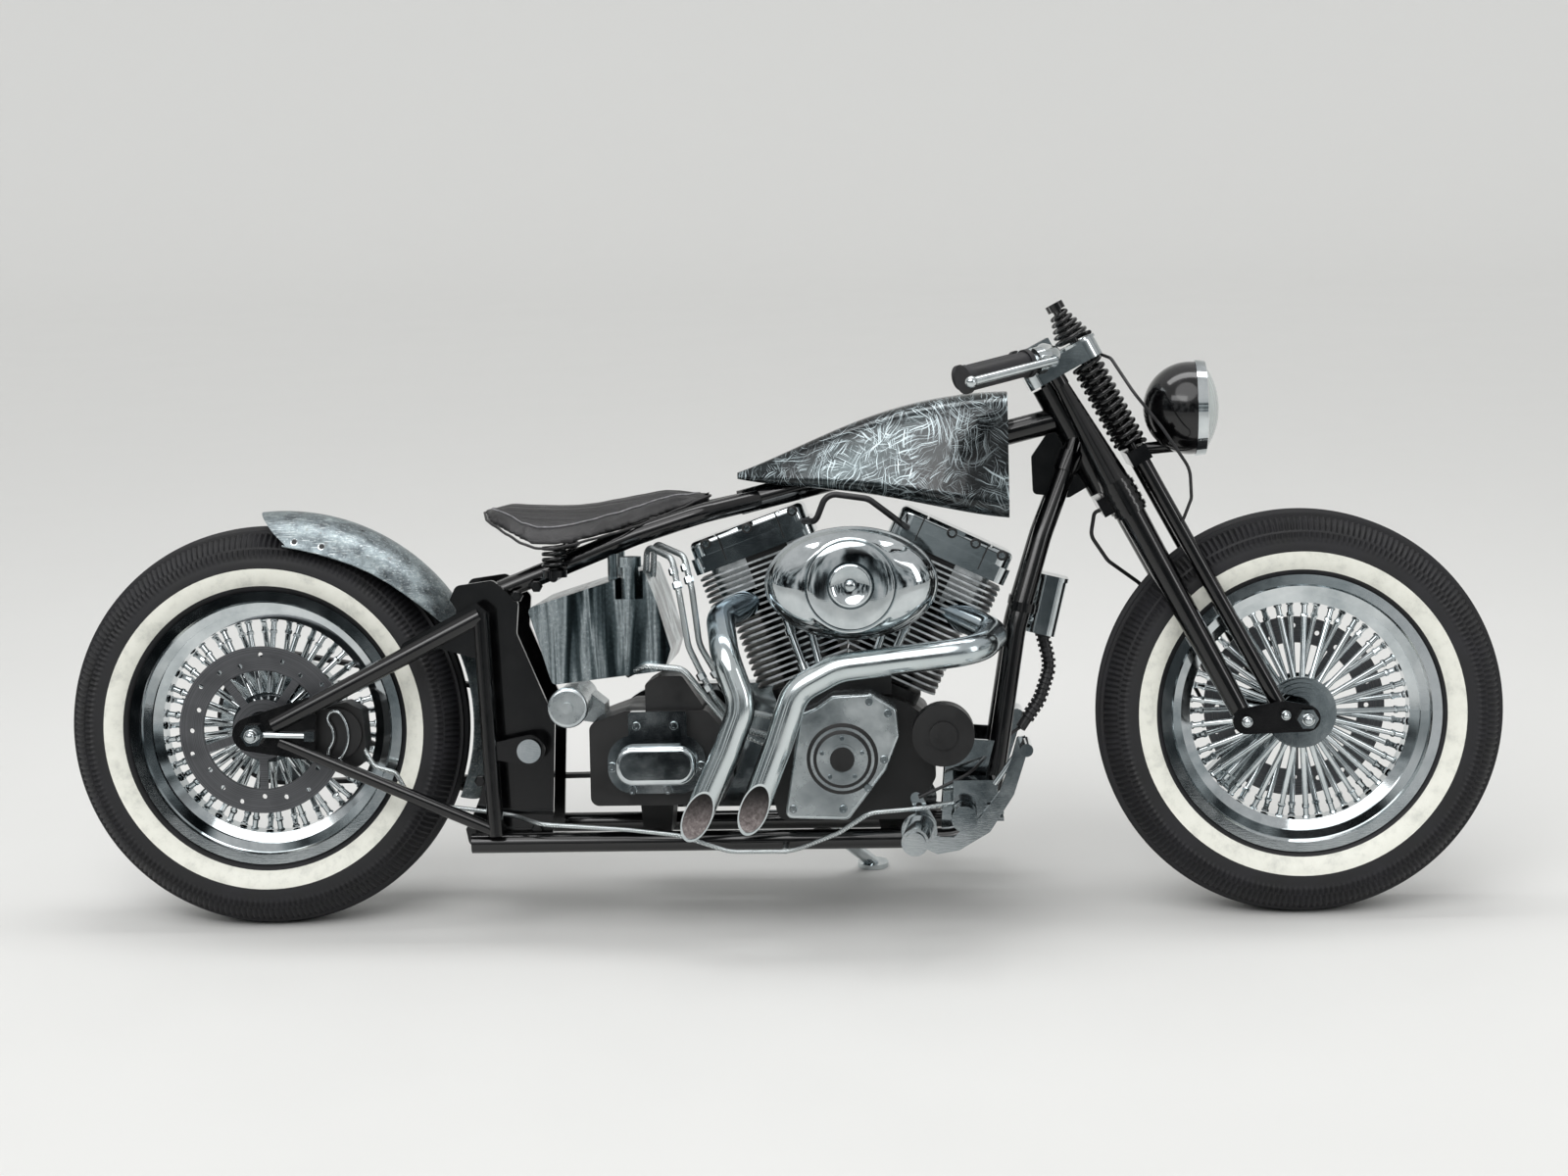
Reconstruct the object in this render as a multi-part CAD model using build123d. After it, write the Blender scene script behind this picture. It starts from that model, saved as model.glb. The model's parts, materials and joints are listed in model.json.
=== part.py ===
from build123d import *
import math
import os

# Bobber motorcycle in millimetres and degrees.
# The bike is drawn upright: +X forward, +Y to its left, +Z up, the ground at z = 0
# and x = 0 midway between the axles. stand_up() then leans it on its side stand.

# Stance
LEAN = 8.5
WHEELBASE = 1665.0
TYRE_RADIUS = 320.0

# Wheels
CROWN_RADIUS = 88.0
TYRE_WALL = 10.0
BEAD_RADIUS = 210.0
RIM_RADIUS = 222.0
RIM_HALF_WIDTH = 53.0
RIM_FLANGE = 5.0
RIM_WELL_RADIUS = 175.0
RIM_SHEET = 4.5
FRONT_TYRE_WIDTH = 130.0
REAR_TYRE_WIDTH = 140.0
SPOKE_COUNT = 50
SPOKE_RADIUS = 4.6
SPOKE_SEAT_GAP = 0.3
SPOKE_TIP_Y = 9.0
SPOKE_ROOT_DEPTH = 12.0
HUB_FLANGE_RADIUS = 57.0
HUB_FLANGE_THICKNESS = 7.0
HUB_FLANGE_Y = 34.0
HUB_BARREL_RADIUS = 34.0
HUB_HALF_WIDTH = 56.0
AXLE_RADIUS = 10.0
RUNNING_GAP = 0.3
DISC_THICKNESS = 5.0
DISC_BORE_RADIUS = 30.0
FRONT_DISC_RADIUS = 146.0
REAR_DISC_RADIUS = 135.0
DISC_HOLES = 20
DISC_HOLE_RADIUS = 4.0
DISC_RING_SHARE = 0.71
DISC_CENTRE_SHARE = 0.36
DISC_ARMS = 5
DISC_ARM_WIDTH = 13.0

# Steering head and springer fork, placed along the raked head axis
RAKE = 28.0
HEAD_TOP_X = 440.0
HEAD_TOP_Z = 850.0
HEAD_LENGTH = 190.0
HEAD_RADIUS = 29.0
STEM_RADIUS = 14.0
YOKE_GAP = 5.0
YOKE_THICKNESS = 30.0
YOKE_HALF_WIDTH = 92.0
RIGID_LEG_FORWARD = 15.0
SPRING_LEG_FORWARD = 68.0
RIGID_LEG_TOP_Y = 74.0
SPRING_LEG_TOP_Y = 78.0
SPRING_Y = 56.0
LEG_FOOT_Y = 98.0
RIGID_LEG_NECK_RADIUS = 10.5
RIGID_LEG_CONE_RADIUS = 25.5
RIGID_LEG_RADIUS = 22.0
RIGID_LEG_FOOT_RADIUS = 16.0
LEG_COLLAR_RADIUS = 28.0
LEG_COLLAR_THICKNESS = 8.0
SPRING_LEG_RADIUS = 12.5
ROCKER_THICKNESS = 10.0
ROCKER_BOSS_RADIUS = 21.0
SPRING_COIL_RADIUS = 20.0
SPRING_WIRE_RADIUS = 4.0
SPRING_TURNS = 12
SPRING_LENGTH = 158.0
TOP_SPRING_TURNS = 5
TOP_SPRING_LENGTH = 58.0
TOP_SPRING_BASE_RADIUS = 26.0
TOP_SPRING_TIP_RADIUS = 9.0
TOP_SPRING_WIRE_RADIUS = 3.4
SPRING_CUP_RADIUS = 31.0
SPRING_CUP_HEIGHT = 4.0
SPRING_ROD_RADIUS = 5.0

# Frame
FRAME_TUBE_RADIUS = 16.0
BACKBONE_RADIUS = 20.0
LOWER_RAIL_Y = 110.0
LOWER_RAIL_Z = 137.0
CROSS_MEMBER_X = (-200.0, 180.0)
UPRIGHT_THICKNESS = 10.0
UPRIGHT_Y = 76.0
SWINGARM_Y = 132.0
SWINGARM_TUBE_RADIUS = 14.0
SWINGARM_STRUT_RADIUS = 10.5
SWINGARM_FRONT_X = -452.0
AXLE_PLATE_THICKNESS = 12.0
PIVOT_X = -393.0
PIVOT_Z = 288.0
PIVOT_SHAFT_RADIUS = 13.0

# Engine
CRANK_X = 120.0
CRANK_Z = 262.0
VEE_X = 103.0
VEE_Z = 262.0
VEE_TILT = 2.8
CYLINDER_ANGLE = 22.5
DECK = 140.0
BARREL_RADIUS = 52.0
BARREL_FIN_LENGTH = 184.0
HEAD_FIN_LENGTH = 216.0
HEAD_FIN_SHIFT = 9.0
FIN_WIDTH = 140.0
FIN_CORNER = 34.0
FIN_THICKNESS = 3.4
BARREL_FINS = 13
BARREL_FIN_PITCH = 10.6
HEAD_FINS = 7
HEAD_FIN_PITCH = 9.4
CYLINDER_HEAD_TOP = 354.0
ROCKER_LENGTH = 203.0
ROCKER_WIDTH = 132.0
ROCKER_HEIGHT = 52.0
ROCKER_SHIFT = 17.0
ROCKER_GROOVE_DEPTH = 4.0
CRANKCASE_RIGHT_Y = -112.0
CRANKCASE_LEFT_Y = 108.0
CAM_COVER_FACE_Y = -190.0
POINTS_COVER_RADIUS = 46.0
CLUTCH_X = -190.0
STARTER_X = -328.0
STARTER_Z = 358.0
STARTER_RADIUS = 32.0
PRIMARY_RADIUS = 103.0
PRIMARY_INNER_Y = 118.0
PRIMARY_OUTER_Y = 184.0
AIR_CLEANER_X = 123.0
AIR_CLEANER_Z = 550.0
AIR_CLEANER_LENGTH = 270.0
AIR_CLEANER_HEIGHT = 178.0
AIR_CLEANER_BACK_Y = -196.0
AIR_CLEANER_FACE_Y = -256.0
PIPE_RADIUS = 22.5
PIPE_WALL = 2.0
PIPE_OPEN_LENGTH = 170.0
MOUTH_SLASH = 64.0

# Final drive
BELT_Y = 102.0
BELT_WIDTH = 26.0
BELT_THICKNESS = 7.0
REAR_PULLEY_RADIUS = 104.0
FRONT_PULLEY_RADIUS = 40.0

# Bodywork
FENDER_CENTRE_X = 26.5 - WHEELBASE / 2
FENDER_CENTRE_Z = TYRE_RADIUS + 8.0
FENDER_GAP = 21.0
FENDER_RADIUS = TYRE_RADIUS + FENDER_GAP
FENDER_SHEET = 3.0
FENDER_HALF_WIDTH = 84.0
FENDER_SIDE_DEPTH = 56.0
FENDER_STRIP_RADIUS = FENDER_RADIUS - 2
FENDER_STRIP_HALF_WIDTH = 62.0
FENDER_STRIP_DEPTH = 23.0
SADDLE_HALF_WIDTH = 122.0
LAMP_X = 672.0
LAMP_Z = 808.0
LAMP_RADIUS = 77.0
LAMP_DEPTH = 82.0

# Hoses and cables
BRAKE_LINE_RADIUS = 3.6
OIL_LINE_RADIUS = 5.0
CABLE_RADIUS = 2.6
CORRUGATED_RADIUS = 8.5
CORRUGATED_PITCH = 9.0
BREATHER_RADIUS = 5.0
BRAKE_HOSE_RADIUS = 3.2

# Side stand
STAND_PIVOT_X = 60.0
STAND_PIVOT_Y = 136.0
STAND_PIVOT_Z = 124.0
STAND_FOOT_X = 140.0
STAND_FOOT_Y = 245.0
STAND_LEG_RADIUS = 11.0
STAND_FOOT_RADIUS = 26.0
STAND_FOOT_THICKNESS = 8.0

BASE = (Align.CENTER, Align.CENTER, Align.MIN)

front_axle_x = WHEELBASE / 2
rear_axle_x = -WHEELBASE / 2
axle_z = TYRE_RADIUS
head_top = Vector(HEAD_TOP_X, 0, HEAD_TOP_Z)
head_up = Vector(-math.sin(math.radians(RAKE)), 0, math.cos(math.radians(RAKE)))
head_forward = Vector(math.cos(math.radians(RAKE)), 0, math.sin(math.radians(RAKE)))
head_frame = Plane(origin=head_top, x_dir=head_forward, z_dir=head_up)
front_axle = Vector(front_axle_x, 0, axle_z)
rocker_pivot = front_axle - head_forward * 85 + head_up * 42
spring_pivot = front_axle - head_forward * 27 + head_up * 22


def side_plane(y):
    """Plane of the bike's side view at the given y, facing right."""
    return Plane(origin=(0, y, 0), x_dir=(1, 0, 0), z_dir=(0, -1, 0))


def slab(outline, y0, y1):
    """Prism across the bike from y0 to y1 over an (x, z) outline."""
    return extrude(side_plane(y1) * outline, y1 - y0)


def rounded(points, radius):
    """Face of a closed outline with one corner radius, or a list of them."""
    return make_face(FilletPolyline(*points, radius=radius, close=True).edges())


def hull_of(shapes):
    """Face of the tight outline around flat shapes."""
    return make_hull(shapes.edges())


def across(x, z, y0, y1, radius):
    """Round bar across the bike."""
    return Pos(x, y0, z) * Rot(X=-90) * Cylinder(radius, y1 - y0, align=BASE)


def rod(start, end, radius, end_radius=None):
    """Straight bar between two points, tapered where the end has its own radius."""
    axis = Vector(end) - Vector(start)
    base = Plane(origin=Vector(start), z_dir=axis)
    if end_radius is None:
        return base * Cylinder(radius, axis.length, align=BASE)
    return base * Cone(radius, end_radius, axis.length, align=BASE)


def bent(points, bends, radius):
    """Round tube along straight runs joined by tangent arcs."""
    path = FilletPolyline(*points, radius=bends) if bends else Line(*points)
    section = Plane(origin=path @ 0, z_dir=path % 0) * Circle(radius)
    return sweep(section, path=path)


def on_head(forward, left, up):
    """Point given along the steering head: forward of it, to its left, and up from its top."""
    return head_top + head_forward * forward + Vector(0, left, 0) + head_up * up


def mirrored(part):
    """The same piece on the bike's other side."""
    return mirror(part, about=Plane.XZ)


def wheel_turned(profile, x):
    """Ring about a wheel's axle from a profile of (radius, y)."""
    return Pos(x, 0, axle_z) * revolve(profile, axis=Axis.Y)


def tyre(width, x):
    half = width / 2
    shoulder_y = 0.78 * half
    shoulder = TYRE_RADIUS - CROWN_RADIUS + math.sqrt(CROWN_RADIUS**2 - shoulder_y**2)
    bead_y = RIM_HALF_WIDTH - RIM_FLANGE
    widest = (BEAD_RADIUS + shoulder) / 2
    inner_shoulder_y = shoulder_y - TYRE_WALL
    outline = [
        Line((BEAD_RADIUS, bead_y - TYRE_WALL), (BEAD_RADIUS, bead_y)),
        Line((BEAD_RADIUS, bead_y), (RIM_RADIUS, bead_y)),
        ThreePointArc((RIM_RADIUS, bead_y), (widest, half), (shoulder, shoulder_y)),
        ThreePointArc((shoulder, shoulder_y), (TYRE_RADIUS, 0), (shoulder, -shoulder_y)),
        ThreePointArc((shoulder, -shoulder_y), (widest, -half), (RIM_RADIUS, -bead_y)),
        Line((RIM_RADIUS, -bead_y), (BEAD_RADIUS, -bead_y)),
        Line((BEAD_RADIUS, -bead_y), (BEAD_RADIUS, TYRE_WALL - bead_y)),
        Line((BEAD_RADIUS, TYRE_WALL - bead_y), (widest, TYRE_WALL - half)),
        Line((widest, TYRE_WALL - half), (shoulder - TYRE_WALL, -inner_shoulder_y)),
        Line((shoulder - TYRE_WALL, -inner_shoulder_y), (shoulder - TYRE_WALL, inner_shoulder_y)),
        Line((shoulder - TYRE_WALL, inner_shoulder_y), (widest, half - TYRE_WALL)),
        Line((widest, half - TYRE_WALL), (BEAD_RADIUS, bead_y - TYRE_WALL)),
    ]
    return wheel_turned(make_face(outline), x)


def rim(x):
    """Drop-centre rim: two lips, two bead seats and the well that the spokes meet."""
    lip = RIM_HALF_WIDTH
    seat = RIM_HALF_WIDTH - RIM_FLANGE
    well = RIM_WELL_RADIUS + RIM_SHEET
    inner_seat = BEAD_RADIUS - RIM_SHEET
    step = (RIM_WELL_RADIUS + inner_seat) / 2
    half_outline = [
        (RIM_WELL_RADIUS, 0.4 * lip),
        (step, 0.5 * lip),
        (step, 0.68 * lip),
        (inner_seat - 2, 0.72 * lip),
        (inner_seat - 2, 0.94 * lip),
        (inner_seat + 1, lip),
        (RIM_RADIUS, lip),
        (RIM_RADIUS, seat),
        (BEAD_RADIUS, seat),
        (BEAD_RADIUS, 0.55 * lip),
        (well, 0.4 * lip),
    ]
    other_half = [(radius, -y) for radius, y in reversed(half_outline)]
    return wheel_turned(make_face(Polyline(*half_outline, *other_half, close=True)), x)


def hub(x, left_half_width, right_half_width, cap_rings=()):
    """Hub with two flanges, and fat spokes laced from them to the rim's well."""
    body = across(x, axle_z, -right_half_width, left_half_width, HUB_BARREL_RADIUS)
    for radius, depth in cap_rings:
        body += across(x, axle_z, -HUB_FLANGE_Y - depth, -HUB_FLANGE_Y, radius)
    for y in (-HUB_FLANGE_Y, HUB_FLANGE_Y):
        near = y - HUB_FLANGE_THICKNESS / 2
        body += across(x, axle_z, near, near + HUB_FLANGE_THICKNESS, HUB_FLANGE_RADIUS)
    root_radius = HUB_FLANGE_RADIUS - SPOKE_ROOT_DEPTH
    tilt = math.atan2(HUB_FLANGE_Y - SPOKE_TIP_Y, RIM_WELL_RADIUS - root_radius)
    outer = RIM_WELL_RADIUS - SPOKE_SEAT_GAP - SPOKE_RADIUS * math.sin(tilt)
    spokes = []
    for i in range(SPOKE_COUNT):
        angle = math.radians(360 * i / SPOKE_COUNT)
        side = 1 if i % 2 else -1
        reach = Vector(math.cos(angle), 0, math.sin(angle))
        root = Vector(x, side * HUB_FLANGE_Y, axle_z) + reach * root_radius
        tip = Vector(x, side * SPOKE_TIP_Y, axle_z) + reach * outer
        spokes.append(rod(root, tip, SPOKE_RADIUS))
    body += spokes
    return body - across(x, axle_z, -400, 400, AXLE_RADIUS + RUNNING_GAP)


def brake_disc(x, y, radius):
    """Drilled ring on slim arms, bolted to the hub."""
    near, far = y - DISC_THICKNESS / 2, y + DISC_THICKNESS / 2
    disc = across(x, axle_z, near, far, radius)
    disc -= across(x, axle_z, near, far, radius * DISC_RING_SHARE)
    for i in range(DISC_ARMS):
        turn = 360 * i / DISC_ARMS + 18
        arm = Pos(x, y, axle_z) * Rot(Y=turn) * Pos(radius * 0.45, 0, 0)
        disc += arm * Box(radius * 0.66, DISC_THICKNESS, DISC_ARM_WIDTH)
    disc += across(x, axle_z, near, far, radius * DISC_CENTRE_SHARE)
    disc -= across(x, axle_z, y - 50, y + 50, DISC_BORE_RADIUS)
    holes = []
    for i in range(DISC_HOLES):
        angle = math.radians(360 * i / DISC_HOLES)
        out = radius * (0.8 + 0.05 * (i % 3))
        holes.append(
            across(x + out * math.cos(angle), axle_z + out * math.sin(angle), y - 50, y + 50, DISC_HOLE_RADIUS)
        )
    return disc - holes


def front_wheel_parts():
    disc_y = HUB_HALF_WIDTH + DISC_THICKNESS / 2
    return {
        "front_tyre": tyre(FRONT_TYRE_WIDTH, front_axle_x),
        "front_rim": rim(front_axle_x),
        "front_hub": hub(front_axle_x, HUB_HALF_WIDTH, HUB_HALF_WIDTH, ((54, 10), (48, 15), (41, 19))),
        "front_disc": brake_disc(front_axle_x, disc_y, FRONT_DISC_RADIUS),
    }


rear_disc_y = -(HUB_HALF_WIDTH + 14 + DISC_THICKNESS / 2)


def rear_wheel_parts():
    pulley_edge = BELT_Y + BELT_WIDTH / 2 + 3
    rear_hub = hub(rear_axle_x, pulley_edge - 20, -rear_disc_y - DISC_THICKNESS / 2)
    pulley = across(rear_axle_x, axle_z, BELT_Y - BELT_WIDTH / 2 - 3, pulley_edge, REAR_PULLEY_RADIUS)
    pulley -= across(rear_axle_x, axle_z, BELT_Y, pulley_edge + 1, REAR_PULLEY_RADIUS - 14)
    pulley -= across(rear_axle_x, axle_z, -400, 400, AXLE_RADIUS + RUNNING_GAP)
    return {
        "rear_tyre": tyre(REAR_TYRE_WIDTH, rear_axle_x),
        "rear_rim": rim(rear_axle_x),
        "rear_hub": rear_hub + pulley,
        "rear_disc": brake_disc(rear_axle_x, rear_disc_y, REAR_DISC_RADIUS),
    }


def fork_parts():
    """Springer fork: rigid rear legs, sprung front legs, yokes, springs and rockers."""
    yoke_under = YOKE_GAP
    lower_yoke_top = -HEAD_LENGTH - YOKE_GAP
    rigid = head_frame * Pos(0, 0, lower_yoke_top - 1) * Cylinder(
        STEM_RADIUS, yoke_under - lower_yoke_top + 1, align=BASE
    )
    yoke_length = RIGID_LEG_FORWARD + 50
    rigid += head_frame * Pos(yoke_length / 2 - 26, 0, lower_yoke_top - YOKE_THICKNESS) * Box(
        yoke_length, 2 * YOKE_HALF_WIDTH, YOKE_THICKNESS, align=BASE
    )
    springs_low = yoke_under - SPRING_LENGTH
    crown_low = springs_low - 24
    sprung = head_frame * Pos(SPRING_LEG_FORWARD, 0, crown_low) * Box(
        34, 2 * SPRING_LEG_TOP_Y + 34, 24, align=BASE
    )
    springs = []
    top_holes = []
    rockers = []
    yoke_over = yoke_under + YOKE_THICKNESS
    rod_top = yoke_over + SPRING_CUP_HEIGHT + TOP_SPRING_LENGTH
    for side in (-1, 1):
        top = on_head(RIGID_LEG_FORWARD, side * RIGID_LEG_TOP_Y, 0)
        foot = rocker_pivot + Vector(0, side * LEG_FOOT_Y, 0)
        down = (foot - top).normalized()
        cone_end = top + (foot - top) * 0.33
        rigid += head_frame * Pos(RIGID_LEG_FORWARD, side * RIGID_LEG_TOP_Y, -10) * Cylinder(
            RIGID_LEG_NECK_RADIUS + 2, 10 + yoke_under, align=BASE
        )
        rigid += rod(top, cone_end, RIGID_LEG_NECK_RADIUS, RIGID_LEG_CONE_RADIUS)
        rigid += rod(cone_end, foot, RIGID_LEG_RADIUS, RIGID_LEG_FOOT_RADIUS)
        for share in (0.31, 0.331, 0.352, 0.373):
            ring = top + (foot - top) * share
            rigid += rod(ring, ring + down * LEG_COLLAR_THICKNESS, LEG_COLLAR_RADIUS)
        sleeve = top + (foot - top) * 0.3
        rigid += rod(sleeve, sleeve + down * 58, RIGID_LEG_CONE_RADIUS)
        rigid += across(
            foot.X, foot.Z, foot.Y - 14, foot.Y + 14, ROCKER_BOSS_RADIUS - 2
        )
        crown_point = on_head(SPRING_LEG_FORWARD, side * SPRING_LEG_TOP_Y, crown_low + 4)
        spring_foot = spring_pivot + Vector(0, side * LEG_FOOT_Y, 0)
        sprung += rod(crown_point, spring_foot, SPRING_LEG_RADIUS)
        sprung += across(
            spring_foot.X, spring_foot.Z, spring_foot.Y - 14, spring_foot.Y + 14, ROCKER_BOSS_RADIUS - 4
        )
        sprung += rod(
            on_head(SPRING_LEG_FORWARD, side * SPRING_Y, springs_low - 4),
            on_head(SPRING_LEG_FORWARD, side * SPRING_Y, rod_top + 10),
            SPRING_ROD_RADIUS,
        )
        sprung += rod(
            on_head(SPRING_LEG_FORWARD, side * SPRING_Y, rod_top),
            on_head(SPRING_LEG_FORWARD, side * SPRING_Y, rod_top + 12),
            TOP_SPRING_TIP_RADIUS + TOP_SPRING_WIRE_RADIUS,
        )
        top_holes.append(
            head_frame * Pos(SPRING_LEG_FORWARD, side * SPRING_Y, yoke_under - 5)
            * Cylinder(SPRING_ROD_RADIUS, YOKE_THICKNESS + 10, align=BASE)
        )
        seat = head_frame * Pos(SPRING_LEG_FORWARD, side * SPRING_Y, springs_low)
        springs.append(seat * coil(SPRING_COIL_RADIUS, SPRING_COIL_RADIUS, SPRING_LENGTH, SPRING_TURNS))
        seat = head_frame * Pos(SPRING_LEG_FORWARD, side * SPRING_Y, yoke_over + SPRING_CUP_HEIGHT)
        springs.append(seat * coil(
            TOP_SPRING_BASE_RADIUS, TOP_SPRING_TIP_RADIUS, TOP_SPRING_LENGTH, TOP_SPRING_TURNS, TOP_SPRING_WIRE_RADIUS
        ))
        inner = side * (LEG_FOOT_Y + 15)
        outer = side * (LEG_FOOT_Y + 15 + ROCKER_THICKNESS)
        low, high = min(inner, outer), max(inner, outer)
        outline = hull_of(
            Sketch()
            + Pos(rocker_pivot.X, rocker_pivot.Z) * Circle(ROCKER_BOSS_RADIUS)
            + Pos(spring_pivot.X, spring_pivot.Z) * Circle(ROCKER_BOSS_RADIUS)
            + Pos(front_axle_x, axle_z) * Circle(ROCKER_BOSS_RADIUS)
        )
        rocker = slab(outline, low, high)
        rocker -= across(front_axle_x, axle_z, low - 1, high + 1, AXLE_RADIUS)
        for pivot, radius in ((rocker_pivot, 9), (spring_pivot, 8)):
            near, far = side * (LEG_FOOT_Y - 18), side * (LEG_FOOT_Y + 36)
            pin = across(pivot.X, pivot.Z, min(near, far), max(near, far), radius)
            rocker += pin
        rockers.append(rocker)
    return {
        "rigid_fork": rigid - rockers,
        "top_yoke": top_yoke(yoke_under) - top_holes,
        "spring_fork": sprung - rockers,
        "fork_springs": Compound(springs),
        "rockers": Compound(rockers),
    }


def coil(low_radius, high_radius, length, turns, wire_radius=SPRING_WIRE_RADIUS):
    """Coil spring standing on z = 0, straight or conical."""
    height = length - 2 * wire_radius - 0.4
    lean = math.degrees(math.atan2(high_radius - low_radius, height))
    path = Helix(height / turns, height, low_radius, cone_angle=lean)
    wire = sweep(
        Plane(origin=path @ 0, z_dir=path % 0) * Circle(wire_radius),
        path=path,
        is_frenet=True,
    )
    return Pos(0, 0, wire_radius + 0.2) * wire


BAR_FORWARD = 14.0
BAR_UP = 52.0
BAR_RADIUS = 12.7
GRIP_RADIUS = 19.0
bar_centre = on_head(BAR_FORWARD, 0, BAR_UP)
grip_inner = Vector(414, -262, 888)
grip_outer = Vector(303, -338, 862)


def top_yoke(under):
    """Top yoke plate with the two handlebar clamps."""
    length = SPRING_LEG_FORWARD + 60
    yoke = head_frame * Pos(length / 2 - 32, 0, under) * Box(
        length, 2 * YOKE_HALF_WIDTH, YOKE_THICKNESS, align=BASE
    )
    yoke = fillet(yoke.edges().filter_by(Axis(head_top, head_up)), 22)
    for side in (-1, 1):
        yoke += head_frame * Pos(SPRING_LEG_FORWARD, side * SPRING_Y, under + YOKE_THICKNESS - 1) * Cylinder(
            SPRING_CUP_RADIUS, SPRING_CUP_HEIGHT + 1, align=BASE
        )
        yoke += head_frame * Pos(BAR_FORWARD, side * 38, under + YOKE_THICKNESS - 1) * Box(
            38, 26, BAR_UP + 16 - under - YOKE_THICKNESS, align=BASE
        )
    return yoke - across(bar_centre.X, bar_centre.Z, -60, 60, BAR_RADIUS)


def bar_parts():
    """Low pulled-back handlebar, grips, perches and levers."""
    along = (grip_outer - grip_inner).normalized()
    corner = grip_inner - along * 38
    right = [grip_outer, corner, Vector(bar_centre.X, -150, bar_centre.Z)]
    left = [Vector(p.X, -p.Y, p.Z) for p in reversed(right)]
    bar = bent(right + left, [60, 90, 90, 60], BAR_RADIUS)
    start = grip_outer + along * 4
    grip = rod(start, start - along * 126, GRIP_RADIUS)
    grip += rod(start, start - along * 7, GRIP_RADIUS + 3) + rod(start - along * 116, start - along * 123, GRIP_RADIUS + 3)
    grip -= rod(start - along * 4, start - along * 140, BAR_RADIUS)
    perch_at = grip_inner - along * 4
    ahead = Vector(0.0, 0.0, 1.0).cross(along).normalized()
    if ahead.X < 0:
        ahead = ahead * -1
    perch = rod(perch_at - along * 2, perch_at + along * 12, 21)
    perch += rod(perch_at + along * 5, perch_at + along * 8 + ahead * 46, 9)
    perch += rod(perch_at + along * 4 + ahead * 44, grip_outer + ahead * 40 + along * 16, 6.5)
    perch += Pos(*(grip_outer + ahead * 40 + along * 18)) * Sphere(9)
    perch -= bar
    return {
        "handlebar": bar,
        "grips": Compound([grip, mirrored(grip)]),
        "hand_controls": Compound([perch, mirrored(perch)]),
    }


def dome(rim_x, rim_radius, tip_x):
    """Arc of a spherical cap from its rim to its tip on the axis, in (x, radius)."""
    depth = abs(tip_x - rim_x)
    ball = (rim_radius**2 + depth**2) / (2 * depth)
    outward = 1 if tip_x > rim_x else -1
    centre = tip_x - outward * ball
    half_angle = math.atan2(rim_radius, outward * (rim_x - centre)) / 2
    middle = (centre + outward * ball * math.cos(half_angle), ball * math.sin(half_angle))
    return ThreePointArc((rim_x, rim_radius), middle, (tip_x, 0))


def lamp_parts(crown):
    """Round headlamp: bucket, bright ring and bulged lens, turned about its own axis."""
    place = Pos(LAMP_X, 0, LAMP_Z)
    bucket_face = make_face([
        dome(0, LAMP_RADIUS - 3, -LAMP_DEPTH),
        Line((0, LAMP_RADIUS - 3), (0, 0)),
        Line((0, 0), (-LAMP_DEPTH, 0)),
    ])
    ring_face = make_face(Polyline(
        (0, LAMP_RADIUS), (16, LAMP_RADIUS - 2), (18, LAMP_RADIUS - 9), (0, LAMP_RADIUS - 9), close=True
    ))
    lens_radius = LAMP_RADIUS - 9
    lens_face = make_face([
        Line((0, 0), (0, lens_radius)),
        Line((0, lens_radius), (16, lens_radius)),
        dome(16, lens_radius, 38),
        Line((38, 0), (0, 0)),
    ])
    bucket, ring, lens = (
        place * Rot(X=90) * revolve(face, axis=Axis.X) for face in (bucket_face, ring_face, lens_face)
    )
    crown_low = YOKE_GAP - SPRING_LENGTH - 24
    stalk = rod(on_head(SPRING_LEG_FORWARD + 17, 0, crown_low + 12), Vector(LAMP_X - 30, 0, LAMP_Z - 60), 10)
    return {"headlamp": bucket + (stalk - crown), "headlamp_ring": ring, "headlamp_lens": lens}


def front_axle_parts():
    """Axle with spacers and nuts, and the caliper carried on it."""
    rocker_face = LEG_FOOT_Y + 15
    end = rocker_face + ROCKER_THICKNESS
    axle = across(front_axle_x, axle_z, -end - 16, end + 16, AXLE_RADIUS)
    nut_outline = Pos(front_axle_x, axle_z) * RegularPolygon(17, 6)
    for side in (-1, 1):
        spacer = (side * (HUB_HALF_WIDTH + 1), side * rocker_face)
        axle += across(front_axle_x, axle_z, min(spacer), max(spacer), 15)
        nut = (side * end, side * (end + 12))
        axle += slab(nut_outline, min(nut), max(nut))
    disc_y = HUB_HALF_WIDTH + DISC_THICKNESS / 2
    caliper_at = Vector(front_axle_x - 92, 0, axle_z - 88)
    caliper = Pos(caliper_at.X, disc_y, caliper_at.Z) * Rot(Y=45) * Box(50, 40, 92)
    caliper += slab(
        hull_of(
            Sketch()
            + Pos(front_axle_x, axle_z) * Circle(24)
            + Pos(caliper_at.X, caliper_at.Z) * Circle(26)
        ),
        disc_y + 12,
        disc_y + 18,
    )
    gap = DISC_THICKNESS / 2 + 5
    caliper -= across(front_axle_x, axle_z, disc_y - gap, disc_y + gap, FRONT_DISC_RADIUS + 5)
    caliper -= across(front_axle_x, axle_z, 0, 200, 15)
    return {"front_axle": axle, "front_caliper": caliper}


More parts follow.
